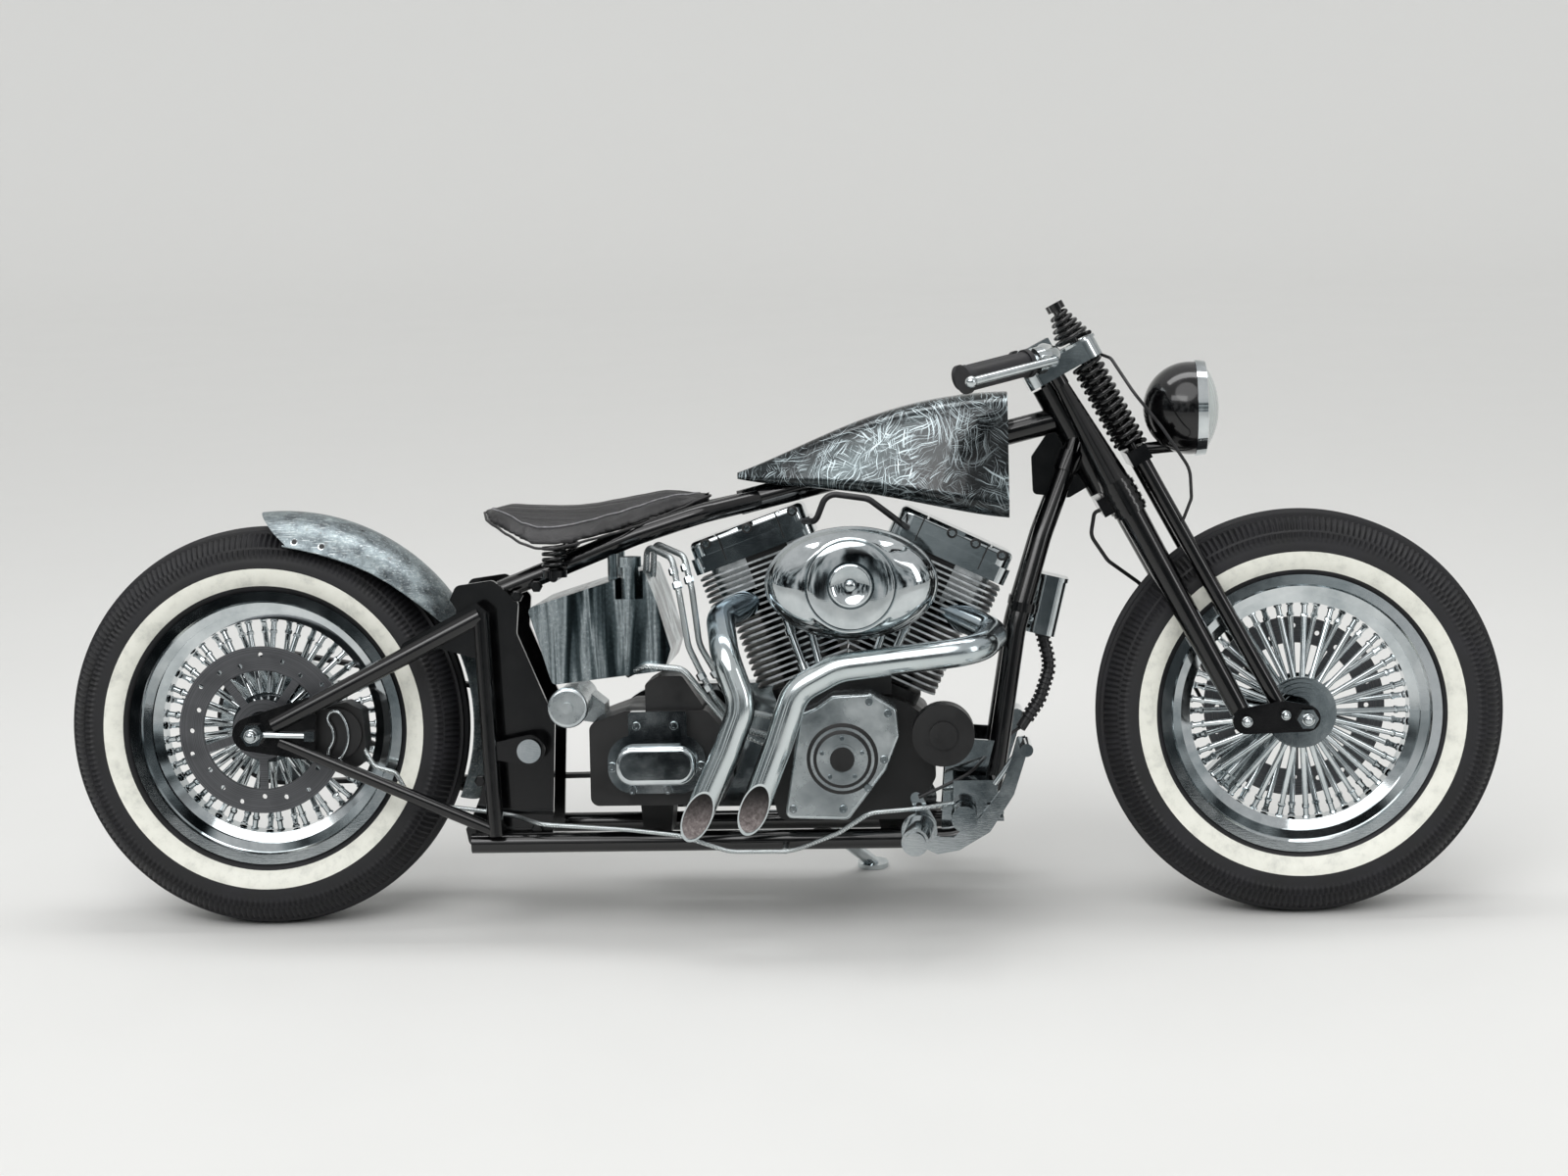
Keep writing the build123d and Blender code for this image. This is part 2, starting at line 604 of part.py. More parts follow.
def frame_parts():
    """Steering head, backbone, rails, downtubes and the rear side plates."""
    head = head_frame * Pos(0, 0, -HEAD_LENGTH) * Cylinder(HEAD_RADIUS, HEAD_LENGTH, align=BASE)
    junction = on_head(0, 0, -60)
    upper = head + rod(junction, (-60, 0, 669), BACKBONE_RADIUS)
    for side in (-1, 1):
        upper += bent(
            [(-30, side * 12, 674), (-120, side * 56, 655), (-225, side * 60, 622), (-460, side * 60, 530)],
            [90, 200],
            FRAME_TUBE_RADIUS,
        )
    upper += slab(
        rounded([(410, 735), (455, 800), (500, 735), (512, 692), (470, 668), (412, 675)], 8), -6, 6
    )
    bore = head_frame * Pos(0, 0, -HEAD_LENGTH - 1) * Cylinder(
        STEM_RADIUS + RUNNING_GAP, HEAD_LENGTH + 2, align=BASE
    )
    downtubes = []
    rails = []
    for side in (-1, 1):
        tube = bent(
            [
                (482, side * 14, 760),
                (424, side * 52, 612),
                (380, side * 78, 467),
                (345, side * 98, 250),
                (318, side * LOWER_RAIL_Y, LOWER_RAIL_Z),
                (200, side * LOWER_RAIL_Y, LOWER_RAIL_Z),
            ],
            [200, 200, 200, 70],
            FRAME_TUBE_RADIUS,
        )
        tube += rod((462, side * 26, 710), (474, side * 19, 740), FRAME_TUBE_RADIUS + 3.5)
        tube += rod((393, side * 73, 505), (390, side * 74, 491), FRAME_TUBE_RADIUS + 4)
        downtubes.append(tube - upper)
        rails.append(rod(
            (200, side * LOWER_RAIL_Y, LOWER_RAIL_Z), (-492, side * LOWER_RAIL_Y, LOWER_RAIL_Z), FRAME_TUBE_RADIUS
        ))
    stand_lug = across(STAND_PIVOT_X, STAND_PIVOT_Z, LOWER_RAIL_Y, STAND_PIVOT_Y, 15)
    stand_lug += across(STAND_PIVOT_X, STAND_PIVOT_Z, LOWER_RAIL_Y, STAND_PIVOT_Y + 24, 8)
    rails[1] += stand_lug
    plate_outline = rounded(
        [(-560, 440), (-512, 548), (-452, 556), (-412, 520), (-416, 470), (-358, 330), (-366, 128), (-500, 128)],
        12,
    )
    uprights = []
    for side in (-1, 1):
        near, far = side * UPRIGHT_Y, side * (UPRIGHT_Y + UPRIGHT_THICKNESS)
        plate = slab(plate_outline, min(near, far), max(near, far))
        plate -= across(FENDER_CENTRE_X, FENDER_CENTRE_Z, -200, 200, FENDER_RADIUS + 5)
        tab = (side * (UPRIGHT_Y + UPRIGHT_THICKNESS - 1), side * LOWER_RAIL_Y)
        plate += Pos(-420, (tab[0] + tab[1]) / 2, LOWER_RAIL_Z) * Box(90, abs(tab[1] - tab[0]), 16)
        plate -= across(PIVOT_X, PIVOT_Z, -200, 200, PIVOT_SHAFT_RADIUS)
        uprights.append(plate - rails[0] - rails[1])
    fender_outside = across(FENDER_CENTRE_X, FENDER_CENTRE_Z, -200, 200, FENDER_RADIUS)
    for x, z in ((-504.7, 505.0), (-457.0, 324.0)):
        uprights[0] += across(x, z, -UPRIGHT_Y - 1, UPRIGHT_Y + 1, 9) - fender_outside
    cross = [
        across(x, LOWER_RAIL_Z, -LOWER_RAIL_Y, LOWER_RAIL_Y, 12) - rails[0] - rails[1]
        for x in CROSS_MEMBER_X
    ]
    return {
        "upper_frame": upper - bore,
        "downtubes": Compound(downtubes),
        "lower_rails": Compound(rails),
        "rear_uprights": uprights[0] + uprights[1],
        "cross_members": Compound(cross),
    }


def swingarm_parts():
    """Triangulated swingarm sides, the pivot shaft and the rear axle with its caliper."""
    inner, outer = SWINGARM_Y - AXLE_PLATE_THICKNESS / 2, SWINGARM_Y + AXLE_PLATE_THICKNESS / 2
    plate = slab(
        hull_of(
            Sketch()
            + Pos(rear_axle_x - 8, axle_z) * Circle(27)
            + Pos(rear_axle_x + 88, axle_z + 46) * Circle(12)
            + Pos(rear_axle_x + 84, axle_z - 30) * Circle(12)
        ),
        -outer,
        -inner,
    )
    plate += slab(
        rounded([(-600, 446), (-590, 462), (-472, 524), (-452, 506), (-462, 432), (-530, 452)], 6),
        -outer + 1,
        -inner - 1,
    )
    lug = slab(
        hull_of(Sketch() + Pos(PIVOT_X, PIVOT_Z) * Circle(24) + Pos(SWINGARM_FRONT_X + 6, PIVOT_Z) * Circle(14)),
        -outer,
        -inner,
    )
    side = plate + lug
    side += rod((rear_axle_x + 30, -SWINGARM_Y, axle_z + 12), (SWINGARM_FRONT_X - 14, -SWINGARM_Y, 503), SWINGARM_TUBE_RADIUS)
    side += rod((rear_axle_x + 40, -SWINGARM_Y, axle_z - 12), (SWINGARM_FRONT_X, -SWINGARM_Y, 160), SWINGARM_STRUT_RADIUS)
    side += rod(
        (SWINGARM_FRONT_X - 14, -SWINGARM_Y, 508), (SWINGARM_FRONT_X + 2, -SWINGARM_Y, 152), SWINGARM_TUBE_RADIUS - 1
    )
    side -= across(rear_axle_x, axle_z, -200, 200, AXLE_RADIUS)
    side -= across(PIVOT_X, PIVOT_Z, -200, 200, PIVOT_SHAFT_RADIUS)
    shaft = across(PIVOT_X, PIVOT_Z, -outer - 3, outer + 3, PIVOT_SHAFT_RADIUS)
    for y in (-outer - 9, outer + 3):
        shaft += across(PIVOT_X, PIVOT_Z, y, y + 6, 19)
    axle = across(rear_axle_x, axle_z, -outer - 22, outer + 22, AXLE_RADIUS)
    nut_outline = Pos(rear_axle_x, axle_z) * RegularPolygon(19, 6)
    axle += slab(nut_outline, -outer - 16, -outer)
    axle += slab(nut_outline, outer, outer + 16)
    axle += across(rear_axle_x, axle_z, -inner, rear_disc_y - DISC_THICKNESS / 2 - 1, 15)
    axle += across(rear_axle_x, axle_z, BELT_Y + BELT_WIDTH / 2 + 4, inner, 15)
    for side_y in (-outer - 7, outer + 7):
        axle += rod((rear_axle_x + 12, side_y, axle_z), (rear_axle_x + 92.5, side_y, axle_z - 3), 4.5)
        axle += Pos(rear_axle_x + 90.5, side_y, axle_z - 3) * Box(16, 14, 16)
    # Caliper round the disc's front edge, its corners forward of the axle and above it
    caliper_outline = rounded(
        [
            (rear_axle_x + forward, axle_z + up)
            for forward, up in (
                (92.5, -44), (108.5, -58), (164.5, -58), (172.5, -20), (168.5, 32), (142.5, 46), (104.5, 40), (92.5, 16)
            )
        ],
        9,
    )
    caliper_face_y = rear_disc_y - 31
    caliper = slab(caliper_outline, caliper_face_y, rear_disc_y + 19)
    bracket_y = rear_disc_y - 30
    bracket_face_y = bracket_y - 8
    caliper += slab(
        hull_of(
            Sketch()
            + Pos(rear_axle_x, axle_z) * Circle(25)
            + Pos(rear_axle_x + 126, axle_z - 4) * Circle(41)
        ),
        bracket_face_y,
        bracket_y,
    )
    kidney_path = CenterArc((rear_axle_x + 90.5, axle_z - 6), 44, -38, 76)
    caliper += slab(SlotArc(kidney_path, 24), bracket_face_y - 4, bracket_face_y)
    caliper -= slab(SlotArc(kidney_path, 16), bracket_face_y - 5, bracket_face_y + 2)
    caliper += across(rear_axle_x + 84, axle_z + 8, -inner, bracket_y, 9)
    gap = DISC_THICKNESS / 2 + 5
    caliper -= across(rear_axle_x, axle_z, rear_disc_y - gap, rear_disc_y + gap, REAR_DISC_RADIUS + 5)
    caliper -= across(rear_axle_x, axle_z, -200, 0, 15)
    return {
        "swingarm_right": side,
        "swingarm_left": mirrored(side),
        "pivot_shaft": shaft,
        "rear_axle": axle,
        "rear_caliper": caliper,
    }


def cylinder_frame(angle):
    """Axes of a cylinder leaned by an angle from the vee's own middle, positive forward."""
    turn = math.radians(angle + VEE_TILT)
    return Plane(
        origin=(VEE_X, 0, VEE_Z),
        x_dir=(math.cos(turn), 0, -math.sin(turn)),
        z_dir=(math.sin(turn), 0, math.cos(turn)),
    )


def own_side(angle):
    """Half space that belongs to a cylinder, up to the middle of the vee."""
    outward = 1 if angle > 0 else -1
    return cylinder_frame(0) * Pos(outward * 201, 0, 300) * Box(400, 400, 700)


def finned_cylinder(angle):
    """Barrel and head with their fins, cut off at the crotch of the vee."""
    frame = cylinder_frame(angle)
    outward = 1 if angle > 0 else -1
    body = Pos(0, 0, DECK) * Cylinder(BARREL_RADIUS, CYLINDER_HEAD_TOP - DECK, align=BASE)
    barrel_fin = extrude(RectangleRounded(BARREL_FIN_LENGTH, FIN_WIDTH, FIN_CORNER), FIN_THICKNESS)
    head_fin = extrude(RectangleRounded(HEAD_FIN_LENGTH, FIN_WIDTH, FIN_CORNER), FIN_THICKNESS)
    fins = [Pos(0, 0, DECK + 8 + BARREL_FIN_PITCH * i) * barrel_fin for i in range(BARREL_FINS)]
    head_low = DECK + 8 + BARREL_FIN_PITCH * BARREL_FINS
    shift = outward * HEAD_FIN_SHIFT
    fins += [Pos(shift, 0, head_low + HEAD_FIN_PITCH * i) * head_fin for i in range(HEAD_FINS)]
    head_core = RectangleRounded(HEAD_FIN_LENGTH - 44, FIN_WIDTH - 26, 24)
    fins.append(Pos(shift, 0, head_low) * extrude(head_core, CYLINDER_HEAD_TOP - head_low))
    return (frame * (body + fins)) & own_side(angle)


def rocker_cover(angle):
    """Two-tier rocker cover with a rounded lid."""
    outward = 1 if angle > 0 else -1
    tier = ROCKER_HEIGHT * 0.5
    low = extrude(RectangleRounded(ROCKER_LENGTH, ROCKER_WIDTH, 18), tier)
    high = Pos(0, 0, tier) * extrude(RectangleRounded(ROCKER_LENGTH - 10, ROCKER_WIDTH - 14, 22), tier)
    high = fillet(high.faces().sort_by(Axis.Z)[-1].edges(), 9)
    grooves = [Pos(x, 0, ROCKER_HEIGHT) * Box(3, ROCKER_WIDTH, 2 * ROCKER_GROOVE_DEPTH) for x in (-52, 58)]
    pocket = Pos(0, -ROCKER_WIDTH / 2, ROCKER_HEIGHT) * Box(26, 34, 14)
    cover = Pos(outward * ROCKER_SHIFT, 0, CYLINDER_HEAD_TOP) * (low + high - grooves - pocket)
    return cylinder_frame(angle) * cover


def engine_parts():
    """Open vee-twin, its covers, gearbox and primary drive."""
    case = slab(
        rounded(
            [(0, 168), (215, 168), (250, 235), (236, 330), (205, 352), (150, 372), (40, 372), (-10, 330), (-16, 230)],
            16,
        ),
        CRANKCASE_RIGHT_Y,
        PRIMARY_INNER_Y,
    )
    for angle in (-CYLINDER_ANGLE, CYLINDER_ANGLE):
        deck = Pos(0, 0, DECK - 60) * extrude(RectangleRounded(142, 142, 20), 60)
        case += cylinder_frame(angle) * deck & own_side(angle)
    case += Pos(CRANK_X - 14, -100, 382) * Box(150, 24, 30)
    case += slab(Polygon((160, 140), (200, 140), (206, 172), (154, 172), align=None), -50, 50)
    case -= across(CROSS_MEMBER_X[1], LOWER_RAIL_Z, -200, 200, 12)
    cylinders = {
        "rear_cylinder": finned_cylinder(-CYLINDER_ANGLE),
        "front_cylinder": finned_cylinder(CYLINDER_ANGLE),
    }
    tubes = []
    for side in (-1, 1):
        for foot, top in ((34, 86), (58, 130)):
            low = Vector(VEE_X + 5 + side * foot, -100, 388)
            high = Vector(VEE_X + 15 + side * top, -60, 564)
            tube = rod(low, high, 6.5)
            tube += rod(low + (high - low) * 0.42, low + (high - low) * 0.47, 9)
            tubes.append(tube + rod(low, low + (high - low) * 0.16, 10) - case)
    cam = slab(
        rounded(
            [(12, 182), (38, 345), (64, 356), (90, 374), (150, 377), (189, 352), (193, 308), (172, 256), (112, 178)], 11
        ),
        CAM_COVER_FACE_Y,
        CRANKCASE_RIGHT_Y,
    )
    cam = fillet(cam.faces().sort_by(Axis.Y)[0].edges(), 5)
    for radius, step in ((POINTS_COVER_RADIUS + 4, 5), (POINTS_COVER_RADIUS - 6, 11), (POINTS_COVER_RADIUS - 22, 13)):
        cam += across(104, 275, CAM_COVER_FACE_Y - step, CAM_COVER_FACE_Y, radius)
    cam -= across(104, 275, CAM_COVER_FACE_Y - 14, CAM_COVER_FACE_Y - 11, POINTS_COVER_RADIUS - 26)
    cleaner_outline = Pos(AIR_CLEANER_X, AIR_CLEANER_Z) * Ellipse(AIR_CLEANER_LENGTH / 2, AIR_CLEANER_HEIGHT / 2)
    cleaner = slab(cleaner_outline, AIR_CLEANER_FACE_Y, AIR_CLEANER_BACK_Y)
    cleaner = fillet(cleaner.edges().sort_by(Axis.Y)[0], 40)
    for radius, step in ((68, 4), (32, 8), (9, 14)):
        cleaner += across(AIR_CLEANER_X, AIR_CLEANER_Z, AIR_CLEANER_FACE_Y - step, AIR_CLEANER_FACE_Y + 1, radius)
    intake = across(AIR_CLEANER_X, AIR_CLEANER_Z, AIR_CLEANER_BACK_Y, 20, 27)
    for side in (-1, 1):
        intake += rod((CRANK_X, -10, AIR_CLEANER_Z), (CRANK_X + side * 60, -10, AIR_CLEANER_Z + 20), 19)
    for name in cylinders:
        cylinders[name] -= [intake, *tubes]
    gearbox = slab(rounded([(-296, 200), (-296, 330), (-240, 350), (-110, 350), (-84, 320), (-84, 200)], 14), -150, 80)
    gearbox += across(CLUTCH_X, CRANK_Z, 79, BELT_Y + BELT_WIDTH / 2, FRONT_PULLEY_RADIUS)
    gearbox += slab(rounded([(-207, 340), (-207, 392), (-186, 404), (-148, 404), (-116, 356), (-116, 340)], 8), -142, -40)
    gearbox += slab(Polygon((-222, 140), (-178, 140), (-172, 204), (-228, 204), align=None), -50, 50)
    gearbox -= across(CROSS_MEMBER_X[0], LOWER_RAIL_Z, -200, 200, 12)
    gearbox_cover = slab(Pos(-189, 267) * RectangleRounded(154, 92, 40), -166, -150)
    crown_outline = Pos(-189, 267) * RectangleRounded(128, 62, 28)
    gearbox_cover += fillet(slab(crown_outline, -190, -165).faces().sort_by(Axis.Y)[0].edges(), 9)
    gearbox_cover += slab(rounded([(-232, 306), (-232, 351), (-140, 351), (-140, 306)], 6), -172, -150)
    primary_outline = hull_of(
        Sketch() + Pos(CRANK_X, CRANK_Z) * Circle(PRIMARY_RADIUS) + Pos(CLUTCH_X, CRANK_Z) * Circle(PRIMARY_RADIUS)
    )
    primary = slab(primary_outline, PRIMARY_INNER_Y, PRIMARY_OUTER_Y)
    primary = fillet(primary.edges().group_by(Axis.Y)[-1], 16)
    primary += across(CLUTCH_X, CRANK_Z, PRIMARY_OUTER_Y - 1, PRIMARY_OUTER_Y + 6, 58)
    oil_filter = across(262, 306, -165, CRANKCASE_RIGHT_Y, 49)
    oil_filter += across(262, 306, -170, -165, 22)
    starter = across(STARTER_X, STARTER_Z, -150, 20, STARTER_RADIUS - 3)
    starter += across(STARTER_X, STARTER_Z, -168, -146, STARTER_RADIUS)
    starter = fillet(starter.edges().filter_by(GeomType.CIRCLE).sort_by(Axis.Y)[0], 6)
    starter += across(STARTER_X, STARTER_Z, -174, -168, 9)
    starter += slab(Polygon((-330, 328), (-280, 320), (-280, 352), (-320, 384), align=None), -60, 10)
    starter -= gearbox
    return {
        "crankcase": case,
        **cylinders,
        "rocker_covers": Compound([rocker_cover(-CYLINDER_ANGLE), rocker_cover(CYLINDER_ANGLE)]),
        "pushrod_tubes": Compound(tubes),
        "cam_cover": cam,
        "air_cleaner": cleaner,
        "intake": intake,
        "gearbox": gearbox,
        "gearbox_cover": gearbox_cover,
        "primary_cover": primary,
        "oil_filter": oil_filter,
        "starter": starter,
    }


def exhaust(points, bends, mouth_at):
    """Drag pipe with an open, slash-cut mouth that faces outward."""
    pipe = bent(points, bends, PIPE_RADIUS)
    end, before = Vector(points[-1]), Vector(points[-2])
    onward = (end - before).normalized()
    pipe -= rod(end + onward, end - onward * PIPE_OPEN_LENGTH, PIPE_RADIUS - PIPE_WALL)
    slash = math.radians(MOUTH_SLASH)
    mouth = Plane(origin=mouth_at, z_dir=onward * math.cos(slash) + Vector(0, -1, 0) * math.sin(slash))
    return pipe - mouth * Pos(0, 0, 100) * Box(300, 300, 200)


def exhaust_parts():
    return {
        "front_exhaust": exhaust(
            [(272, -45, 492), (348, -105, 460), (318, -216, 444), (100, -216, 420), (34, -216, 385), (5, -216, 300),
             (-58, -216, 140)],
            [40, 60, 90, 60, 120],
            (-34, -216, 200),
        ),
        "rear_exhaust": exhaust(
            [(-36, -45, 515), (-88, -112, 494), (-76, -200, 440), (-48, -214, 364), (-76, -214, 290), (-150, -214, 132)],
            [45, 60, 60, 120],
            (-123, -214, 190),
        ),
    }


def belt_part():
    """Belt as a loop around both pulleys."""
    def loop(extra):
        return hull_of(
            Sketch()
            + Pos(rear_axle_x, axle_z) * Circle(REAR_PULLEY_RADIUS + extra)
            + Pos(CLUTCH_X, CRANK_Z) * Circle(FRONT_PULLEY_RADIUS + extra)
        )

    low, high = BELT_Y - BELT_WIDTH / 2, BELT_Y + BELT_WIDTH / 2
    belt = slab(loop(RUNNING_GAP + BELT_THICKNESS), low, high) - slab(loop(RUNNING_GAP), low - 1, high + 1)
    return {"drive_belt": belt}


def fender_arc(radius, half_width, depth, start, turn):
    """Domed sheet turned about the fender's own centre, from a start angle above forward."""
    section_radius = (half_width**2 + depth**2) / (2 * depth)
    share = (section_radius - FENDER_SHEET) / section_radius
    centre = radius - section_radius
    edge = radius - depth
    inner_edge = centre + (edge - centre) * share
    face = make_face([
        ThreePointArc((edge, -half_width), (radius, 0), (edge, half_width)),
        Line((edge, half_width), (inner_edge, half_width * share)),
        ThreePointArc(
            (inner_edge, half_width * share), (radius - FENDER_SHEET, 0), (inner_edge, -half_width * share)
        ),
        Line((inner_edge, -half_width * share), (edge, -half_width)),
    ])
    arc = revolve(face, axis=Axis.Y, revolution_arc=-turn)
    return Pos(FENDER_CENTRE_X, 0, FENDER_CENTRE_Z) * Rot(Y=-start) * arc


def fender_part():
    """Short fender: pointed tip, sides that grow shallower forward, and a narrow strip below."""
    blade = fender_arc(FENDER_RADIUS, FENDER_HALF_WIDTH, FENDER_SIDE_DEPTH, 31, 67)
    at_centre = Pos(FENDER_CENTRE_X, FENDER_CENTRE_Z)
    side_edge = ThreePointArc((16, 288), (128, 257), (270, 158))
    under = make_face([
        side_edge,
        Line((270, 158), (270, -28)),
        Line((270, -28), (16, -28)),
        Line((16, -28), (16, 288)),
    ])
    blade -= slab(at_centre * under, -200, 200)
    tip_cut = make_face(Polyline((24, 262), (20, 290), (0, 308), (-36, 346), (-94, 372), (-94, 232), close=True))
    blade -= slab(at_centre * tip_cut, -200, 200)
    return blade + fender_arc(FENDER_STRIP_RADIUS, FENDER_STRIP_HALF_WIDTH, FENDER_STRIP_DEPTH, -23, 55)


def body_parts(upper_frame):
    """Tanks, fender, saddle and its mount."""
    oil_tank = slab(rounded([(-391, 514), (-205, 571), (-186, 520), (-165, 446), (-176, 412), (-354, 392)], 9), -138, 138)
    filler = Vector(-229, -118, 0)
    oil_tank -= rod(filler + Vector(0, 0, 526), filler + Vector(0, 0, 640), 22)
    oil_tank -= Pos(filler.X, -142, 582) * Box(44, 48, 112)
    oil_tank += rod(filler + Vector(0, 0, 518), filler + Vector(0, 0, 578), 14)
    oil_tank += rod(filler + Vector(0, 0, 576), filler + Vector(0, 0, 592), 18.5)
    for side in (-1, 1):
        oil_tank += rod((-262, side * 60, 540), (-262, side * 60, 606), 8) - upper_frame
    # x, bottom z, top z, half width low, half width high, low corner, high corner
    tank_sections = (
        (-62, 708, 718, 16, 12, 3, 3),
        (50, 694, 764, 66, 40, 12, 28),
        (170, 679, 810, 102, 60, 18, 50),
        (280, 657, 834, 118, 74, 22, 64),
        (372, 641, 840, 108, 68, 24, 60),
    )
    faces = []
    for x, low, high, low_half, high_half, low_corner, high_corner in tank_sections:
        outline = FilletPolyline(
            (-low_half, low), (low_half, low), (high_half, high), (-high_half, high),
            radius=[low_corner, low_corner, high_corner * 0.7, high_corner * 0.7],
            close=True,
        )
        section = Plane(origin=(x, 0, 0), x_dir=(0, 1, 0), z_dir=(1, 0, 0))
        faces.append(section * make_face(outline.edges()))
    tank = loft(faces)
    backbone_top = BACKBONE_RADIUS + 6
    tunnel = slab(
        Polygon((-80, 600), (420, 600), (420, 784 + backbone_top), (-80, 660 + backbone_top), align=None),
        -BACKBONE_RADIUS - 6,
        BACKBONE_RADIUS + 6,
    )
    side = rounded(
        [(-478, 650), (-470, 676), (-395, 662), (-301, 657), (-206, 676), (-106, 697), (-104, 690), (-137, 674),
         (-231, 637), (-310, 615), (-380, 616), (-440, 640)],
        [3, 6, 60, 120, 120, 2, 2, 60, 100, 60, 60, 30],
    )
    saddle = slab(side, -SADDLE_HALF_WIDTH, SADDLE_HALF_WIDTH)
    plan = hull_of(
        Sketch()
        + Pos(-376, 0) * Ellipse(100, SADDLE_HALF_WIDTH)
        + Pos(-134, 0) * Circle(32)
    )
    saddle &= Pos(0, 0, 560) * extrude(plan, 200)
    return {
        "rear_fender": fender_part(),
        "oil_tank": oil_tank,
        "fuel_tank": tank - tunnel + (across(330, 763, -BACKBONE_RADIUS - 8, BACKBONE_RADIUS + 8, 7) - upper_frame),
        "saddle": saddle,
        "saddle_mount": saddle_mount(saddle, upper_frame),
    }


def saddle_mount(saddle, upper_frame):
    """Rear bar with its two coil springs, and the nose bracket that the saddle hangs on."""
    bar_x, bar_z = -351, 560
    bar = across(bar_x, bar_z, -116, 116, 7)
    springs = []
    for y in (-98, 98):
        bar += rod((bar_x, y, bar_z), (bar_x, y, bar_z + 11), 20)
        springs.append(Pos(bar_x, y, bar_z + 11) * coil(17, 17, 43, 4, 3.2))
    nose = across(-122, 655, -56, 56, 8)
    nose += slab(Polygon((-132, 650), (-112, 650), (-108, 696), (-134, 684), align=None), -12, 12)
    return Compound([bar - upper_frame, nose - upper_frame - saddle, *springs])


def stand_part():
    """Side stand down: boss, leg and a foot flat on the ground."""
    lean = math.radians(LEAN)
    ground = (STAND_FOOT_Y * math.sin(lean) - tyre_rise) / math.cos(lean)
    up = Vector(0, -math.sin(lean), math.cos(lean))
    foot_at = Vector(STAND_FOOT_X, STAND_FOOT_Y, ground)
    foot = Plane(origin=foot_at, z_dir=up) * Cylinder(STAND_FOOT_RADIUS, STAND_FOOT_THICKNESS, align=BASE)
    boss_y = STAND_PIVOT_Y + 1
    boss = across(STAND_PIVOT_X, STAND_PIVOT_Z, boss_y, boss_y + 18, 18)
    leg = rod((STAND_PIVOT_X, boss_y + 9, STAND_PIVOT_Z), foot_at + up * (STAND_FOOT_THICKNESS - 2), STAND_LEG_RADIUS)
    stand = boss + leg + foot - Plane(origin=foot_at, z_dir=up) * Pos(0, 0, -30) * Box(200, 200, 60)
    return {"side_stand": stand - across(STAND_PIVOT_X, STAND_PIVOT_Z, 0, boss_y + 40, 8 + RUNNING_GAP)}


PEG_X = 222.0
PEG_Z = 161.0
PEG_RADIUS = 21.0
PEG_COLLAR_RADIUS = 25.0
PEG_COLLAR_LENGTH = 3.0
PEG_ROOT_Y = -198.0
PEG_LENGTH = 118.0
PEG_SWEEP = 3.0
peg_root = Vector(PEG_X, PEG_ROOT_Y, PEG_Z)
peg_out = Vector(-math.sin(math.radians(PEG_SWEEP)), -math.cos(math.radians(PEG_SWEEP)), 0)


def control_parts():
    """Forward control: gusset, pivot, pedal arm, peg, and the finned cylinder with its reservoir."""
    control = slab(Polygon((256, 150), (318, 150), (344, 290), (268, 296), align=None), -108, -98)
    control += across(280, 262, -122, -104, 10)
    control += across(288, 190, -190, -104, 14)
    control += slab(
        rounded(
            [(220, 138), (250, 124), (284, 130), (332, 158), (370, 216), (394, 290), (390, 308), (376, 306),
             (364, 264), (348, 222), (316, 180), (276, 150), (250, 152), (232, 176)],
            4,
        ),
        PEG_ROOT_Y,
        -188,
    )
    control += across(PEG_X, PEG_Z, PEG_ROOT_Y + 2, -186, PEG_COLLAR_RADIUS + 3)
    control += rod(peg_root - peg_out * 4, peg_root + peg_out * PEG_COLLAR_LENGTH, PEG_COLLAR_RADIUS)
    control += rod(peg_root, peg_root + peg_out * PEG_LENGTH, PEG_RADIUS)
    control += rod(peg_root, peg_root + peg_out * (PEG_LENGTH + 7), PEG_RADIUS - 5)
    control += across(388, 296, -286, -190, 10)
    control += across(292, 188, -262, -179, 17)
    for y in (-216, -232, -248, -264):
        control += across(292, 188, y, y + 8, 20)
    control += Pos(310.5, -164.5, 221) * Box(69, 56, 35)
    control += Pos(306, -164, 190) * Box(44, 50, 40)
    for z in (176, 187, 198):
        control += Pos(316, -164, z) * Box(76, 52, 4)
    control += slab(
        hull_of(Sketch() + Pos(218, 212) * Circle(9) + Pos(236, 170) * Circle(13)) - Pos(222, 200) * Circle(5),
        -190,
        -181,
    )
    control += rod((340, -190, 232), (384, -193, 292), 4.5)
    return control


def regulator_part():
    """Canister in front of the downtubes, slung from a bar between them."""
    low, high = Vector(419, 0, 452), Vector(440, 0, 538)
    axis = high - low
    place = Plane(origin=low, x_dir=(axis.normalized().Z, 0, -axis.normalized().X), z_dir=axis)
    body = place * extrude(RectangleRounded(48, 84, 14), axis.length)
    body += place * Pos(0, 0, axis.length) * extrude(RectangleRounded(52, 88, 16), 7)
    body += across(384, 480, -74, 74, 6)
    body += Pos(397, 0, 480) * Box(30, 24, 12)
    return body


def along_path(points, bends, step, first, last):
    """Planes spaced along a rounded route, from one distance to another."""
    path = FilletPolyline(*points, radius=bends)
    count = int((last - first) / step)
    return [
        Plane(origin=path @ ((first + step * i) / path.length), z_dir=path % ((first + step * i) / path.length))
        for i in range(count + 1)
    ]


